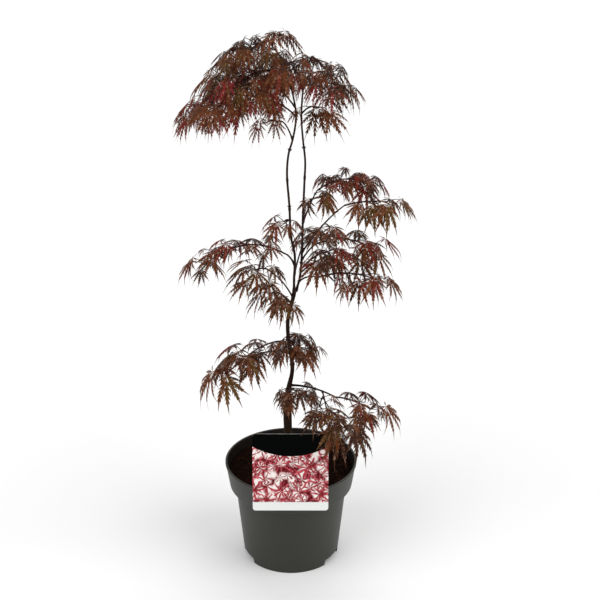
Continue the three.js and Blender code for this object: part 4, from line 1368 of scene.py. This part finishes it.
def labelMesh():
    work = bmesh.new()
    outline = cardOutline()
    back = [work.verts.new((x * mm, 0, z * mm)) for x, z in outline]
    work.faces.new(back)
    half, height = label["width"] / 2 * mm, label["height"] * mm
    low = -label["rimShare"] * height
    for axis, first, span, count in (((1, 0, 0), -half, 2 * half, card["columns"]),
                                     ((0, 0, 1), low, height, card["rows"])):
        for k in range(1, count):
            spot = Vector(axis) * (first + span * k / count)
            bmesh.ops.bisect_plane(work, geom=[*work.verts, *work.edges, *work.faces], plane_co=spot,
                                   plane_no=Vector(axis), dist=1e-7)
    uv = work.loops.layers.uv.new("print")
    front = bmesh.ops.extrude_face_region(work, geom=list(work.faces))
    for item in front["geom"]:
        if isinstance(item, bmesh.types.BMVert):
            item.co.y -= label["thickness"] * mm
    for v in work.verts:
        v.co.y += card["bow"] * mm * ((v.co.x / half) ** 2 - 0.35) * max(0, (v.co.z - 3 * mm) / height)
    bmesh.ops.recalc_face_normals(work, faces=work.faces)
    for face in work.faces:
        for loop in face.loops:
            loop[uv].uv = ((loop.vert.co.x + half) / (2 * half), (loop.vert.co.z - low) / height)
        if face.normal.y > -0.8:
            face.material_index = 1
    place = Matrix.Translation((0, -(pot["rimRadius"] + label["gap"]) * mm, pot["height"] * mm))
    bmesh.ops.transform(work, matrix=place @ Matrix.Rotation(rad(-label["lean"]), 4, "X"),
                        verts=work.verts)
    return meshFrom(work, "labelCard")


def hookMesh():
    width, thick, reach, leg = label["tab"]
    roof = 0.6 + thick
    outer = [(-0.5, roof), (reach + thick - 1.5, roof), (reach + thick - 0.4, roof - 0.4),
             (reach + thick, roof - 1.5), (reach + thick, -leg)]
    inner = [(reach, -leg), (reach, roof - thick - 0.6), (reach - 0.6, roof - thick),
             (-0.5, roof - thick)]
    profile = outer + inner
    points = [(x * mm, (y - pot["rimRadius"] - label["gap"]) * mm, (z + pot["height"]) * mm)
              for x in (-width / 2, width / 2) for y, z in profile]
    n = len(profile)
    faces = [tuple(range(n)), tuple(reversed(range(n, 2 * n)))]
    faces += [(k, (k + 1) % n, n + (k + 1) % n, n + k) for k in range(n)]
    return tidied(meshOf("labelHook", points, faces, smooth=False))


def flatCells(tree, place, scale):
    return put(tree, "ShaderNodeTexVoronoi", {"Vector": place, "Scale": scale},
               voronoi_dimensions="2D").outputs


def printMaterial():
    made, tree, shader, place = newMaterial("printedCard", Specular_IOR_Level=card["shine"])
    uv = put(tree, "ShaderNodeUVMap", None, uv_map="print").outputs[0]
    spot = put(tree, "ShaderNodeSeparateXYZ", {0: uv}).outputs
    sway = put(tree, "ShaderNodeTexNoise", {"Vector": uv, "Scale": 9.0, "Detail": 3.0})
    moved = put(tree, "ShaderNodeMix", {0: 0.06, 4: uv, 5: sway.outputs["Color"]},
                data_type="VECTOR").outputs[1]
    petals = flatCells(tree, moved, card["petals"])["Distance"]
    ground = put(tree, "ShaderNodeValToRGB", {"Fac": petals})
    stops = ground.color_ramp.elements
    stops.new(0.5)
    for stop, (share, colour) in zip((stops[0], stops[2], stops[1]), card["ground"]):
        stop.position, stop.color = share, tone(*colour)
    picture = ground.outputs[0]
    drift = cloudy(tree, uv, 3.1, 1.0)
    for scale, rays, dark, light in card["sprays"]:
        cells = flatCells(tree, moved, scale)
        away = put(tree, "ShaderNodeVectorMath", {0: moved, 1: cells["Position"]}, operation="SUBTRACT")
        flat = put(tree, "ShaderNodeSeparateXYZ", {0: away.outputs["Vector"]}).outputs
        angle = reckon(tree, "ARCTAN2", flat["Y"], flat["X"])
        blades = reckon(tree, "SINE", reckon(tree, "MULTIPLY", angle, rays))
        short = reckon(tree, "MULTIPLY_ADD", cells["Distance"], -1.9, blades)
        there = reckon(tree, "MULTIPLY_ADD", drift, 2.4, short)
        ink = blended(tree, cells["Distance"], tone(*dark), tone(*light))
        picture = blended(tree, ranged(tree, there, 0.75, 1.0), picture, ink)
    offset = reckon(tree, "SUBTRACT", spot["X"], 0.5)
    arc = reckon(tree, "MULTIPLY", reckon(tree, "MULTIPLY", offset, offset), card["headArc"])
    inHead = reckon(tree, "GREATER_THAN", spot["Y"], reckon(tree, "ADD", arc, card["headFoot"]))
    headed = blended(tree, inHead, picture, tone(*card["head"]))
    isBare = reckon(tree, "LESS_THAN", spot["Y"], card["bareFoot"])
    relief = relieved(tree, place, 900.0, 0.00002, 60.0)
    finish(tree, shader, blended(tree, isBare, headed, tone(*card["foot"])), relief, relief["Mask"],
           card["rough"])
    return made


def cardBackMaterial():
    made, tree, shader, place = newMaterial("cardBack")
    fibre = patchy(tree, place, 300.0, 0.4, *[tone(*shade) for shade in card["back"]])
    dust = dusty(tree, place, fibre["Colour"], tone(*card["backDust"]), 0.3, 90.0)
    relief = relieved(tree, place, 900.0, 0.00003, 60.0)
    finish(tree, shader, dust, relief, relief["Mask"], card["backRough"])
    return made


plainCard = cardBackMaterial()
cardMesh = labelMesh()
cardMesh.materials.append(printMaterial())
cardMesh.materials.append(plainCard)
keep("labelCard", cardMesh, None, "label", ["plant_label"])
keep("labelHook", hookMesh(), plainCard, "label")
print("label made")


# Studio: a pale floor, a bright room and three broad soft lights

studio = {"floor": (252, 252, 252), "half": 60, "rough": 0.9, "room": 0.38, "suns": {
    "left": ((-0.9, -0.8, 1.3), 1.05, 45), "right": ((1.0, -0.5, 1.2), 1.15, 45),
    "behind": ((0.1, 0.8, 1.4), 0.7, 50)}}


def makeStudio():
    half = studio["half"]
    corners = [(-half, -half, 0), (half, -half, 0), (half, half, 0), (-half, half, 0)]
    floor = stand("floor", meshOf("floor", corners, [(0, 1, 2, 3)]))
    paper = newMaterial("palePaper", Roughness=studio["rough"], Base_Color=tone(*studio["floor"]))[0]
    floor.data.materials.append(paper)
    room = bpy.data.worlds.new("room")
    room.use_nodes = True
    room.node_tree.nodes["Background"].inputs["Color"].default_value = (1, 1, 1, 1)
    room.node_tree.nodes["Background"].inputs["Strength"].default_value = studio["room"]
    scene.world = room
    for name, (place, power, spread) in studio["suns"].items():
        sun = bpy.data.lights.new(name, "SUN")
        sun.energy, sun.angle = power, rad(spread)
        holder = stand(name, sun)
        holder.location = place
        holder.rotation_euler = Vector(place).to_track_quat("Z", "Y").to_euler()
    scene.view_settings.view_transform = "Standard"


makeStudio()
print("studio made")
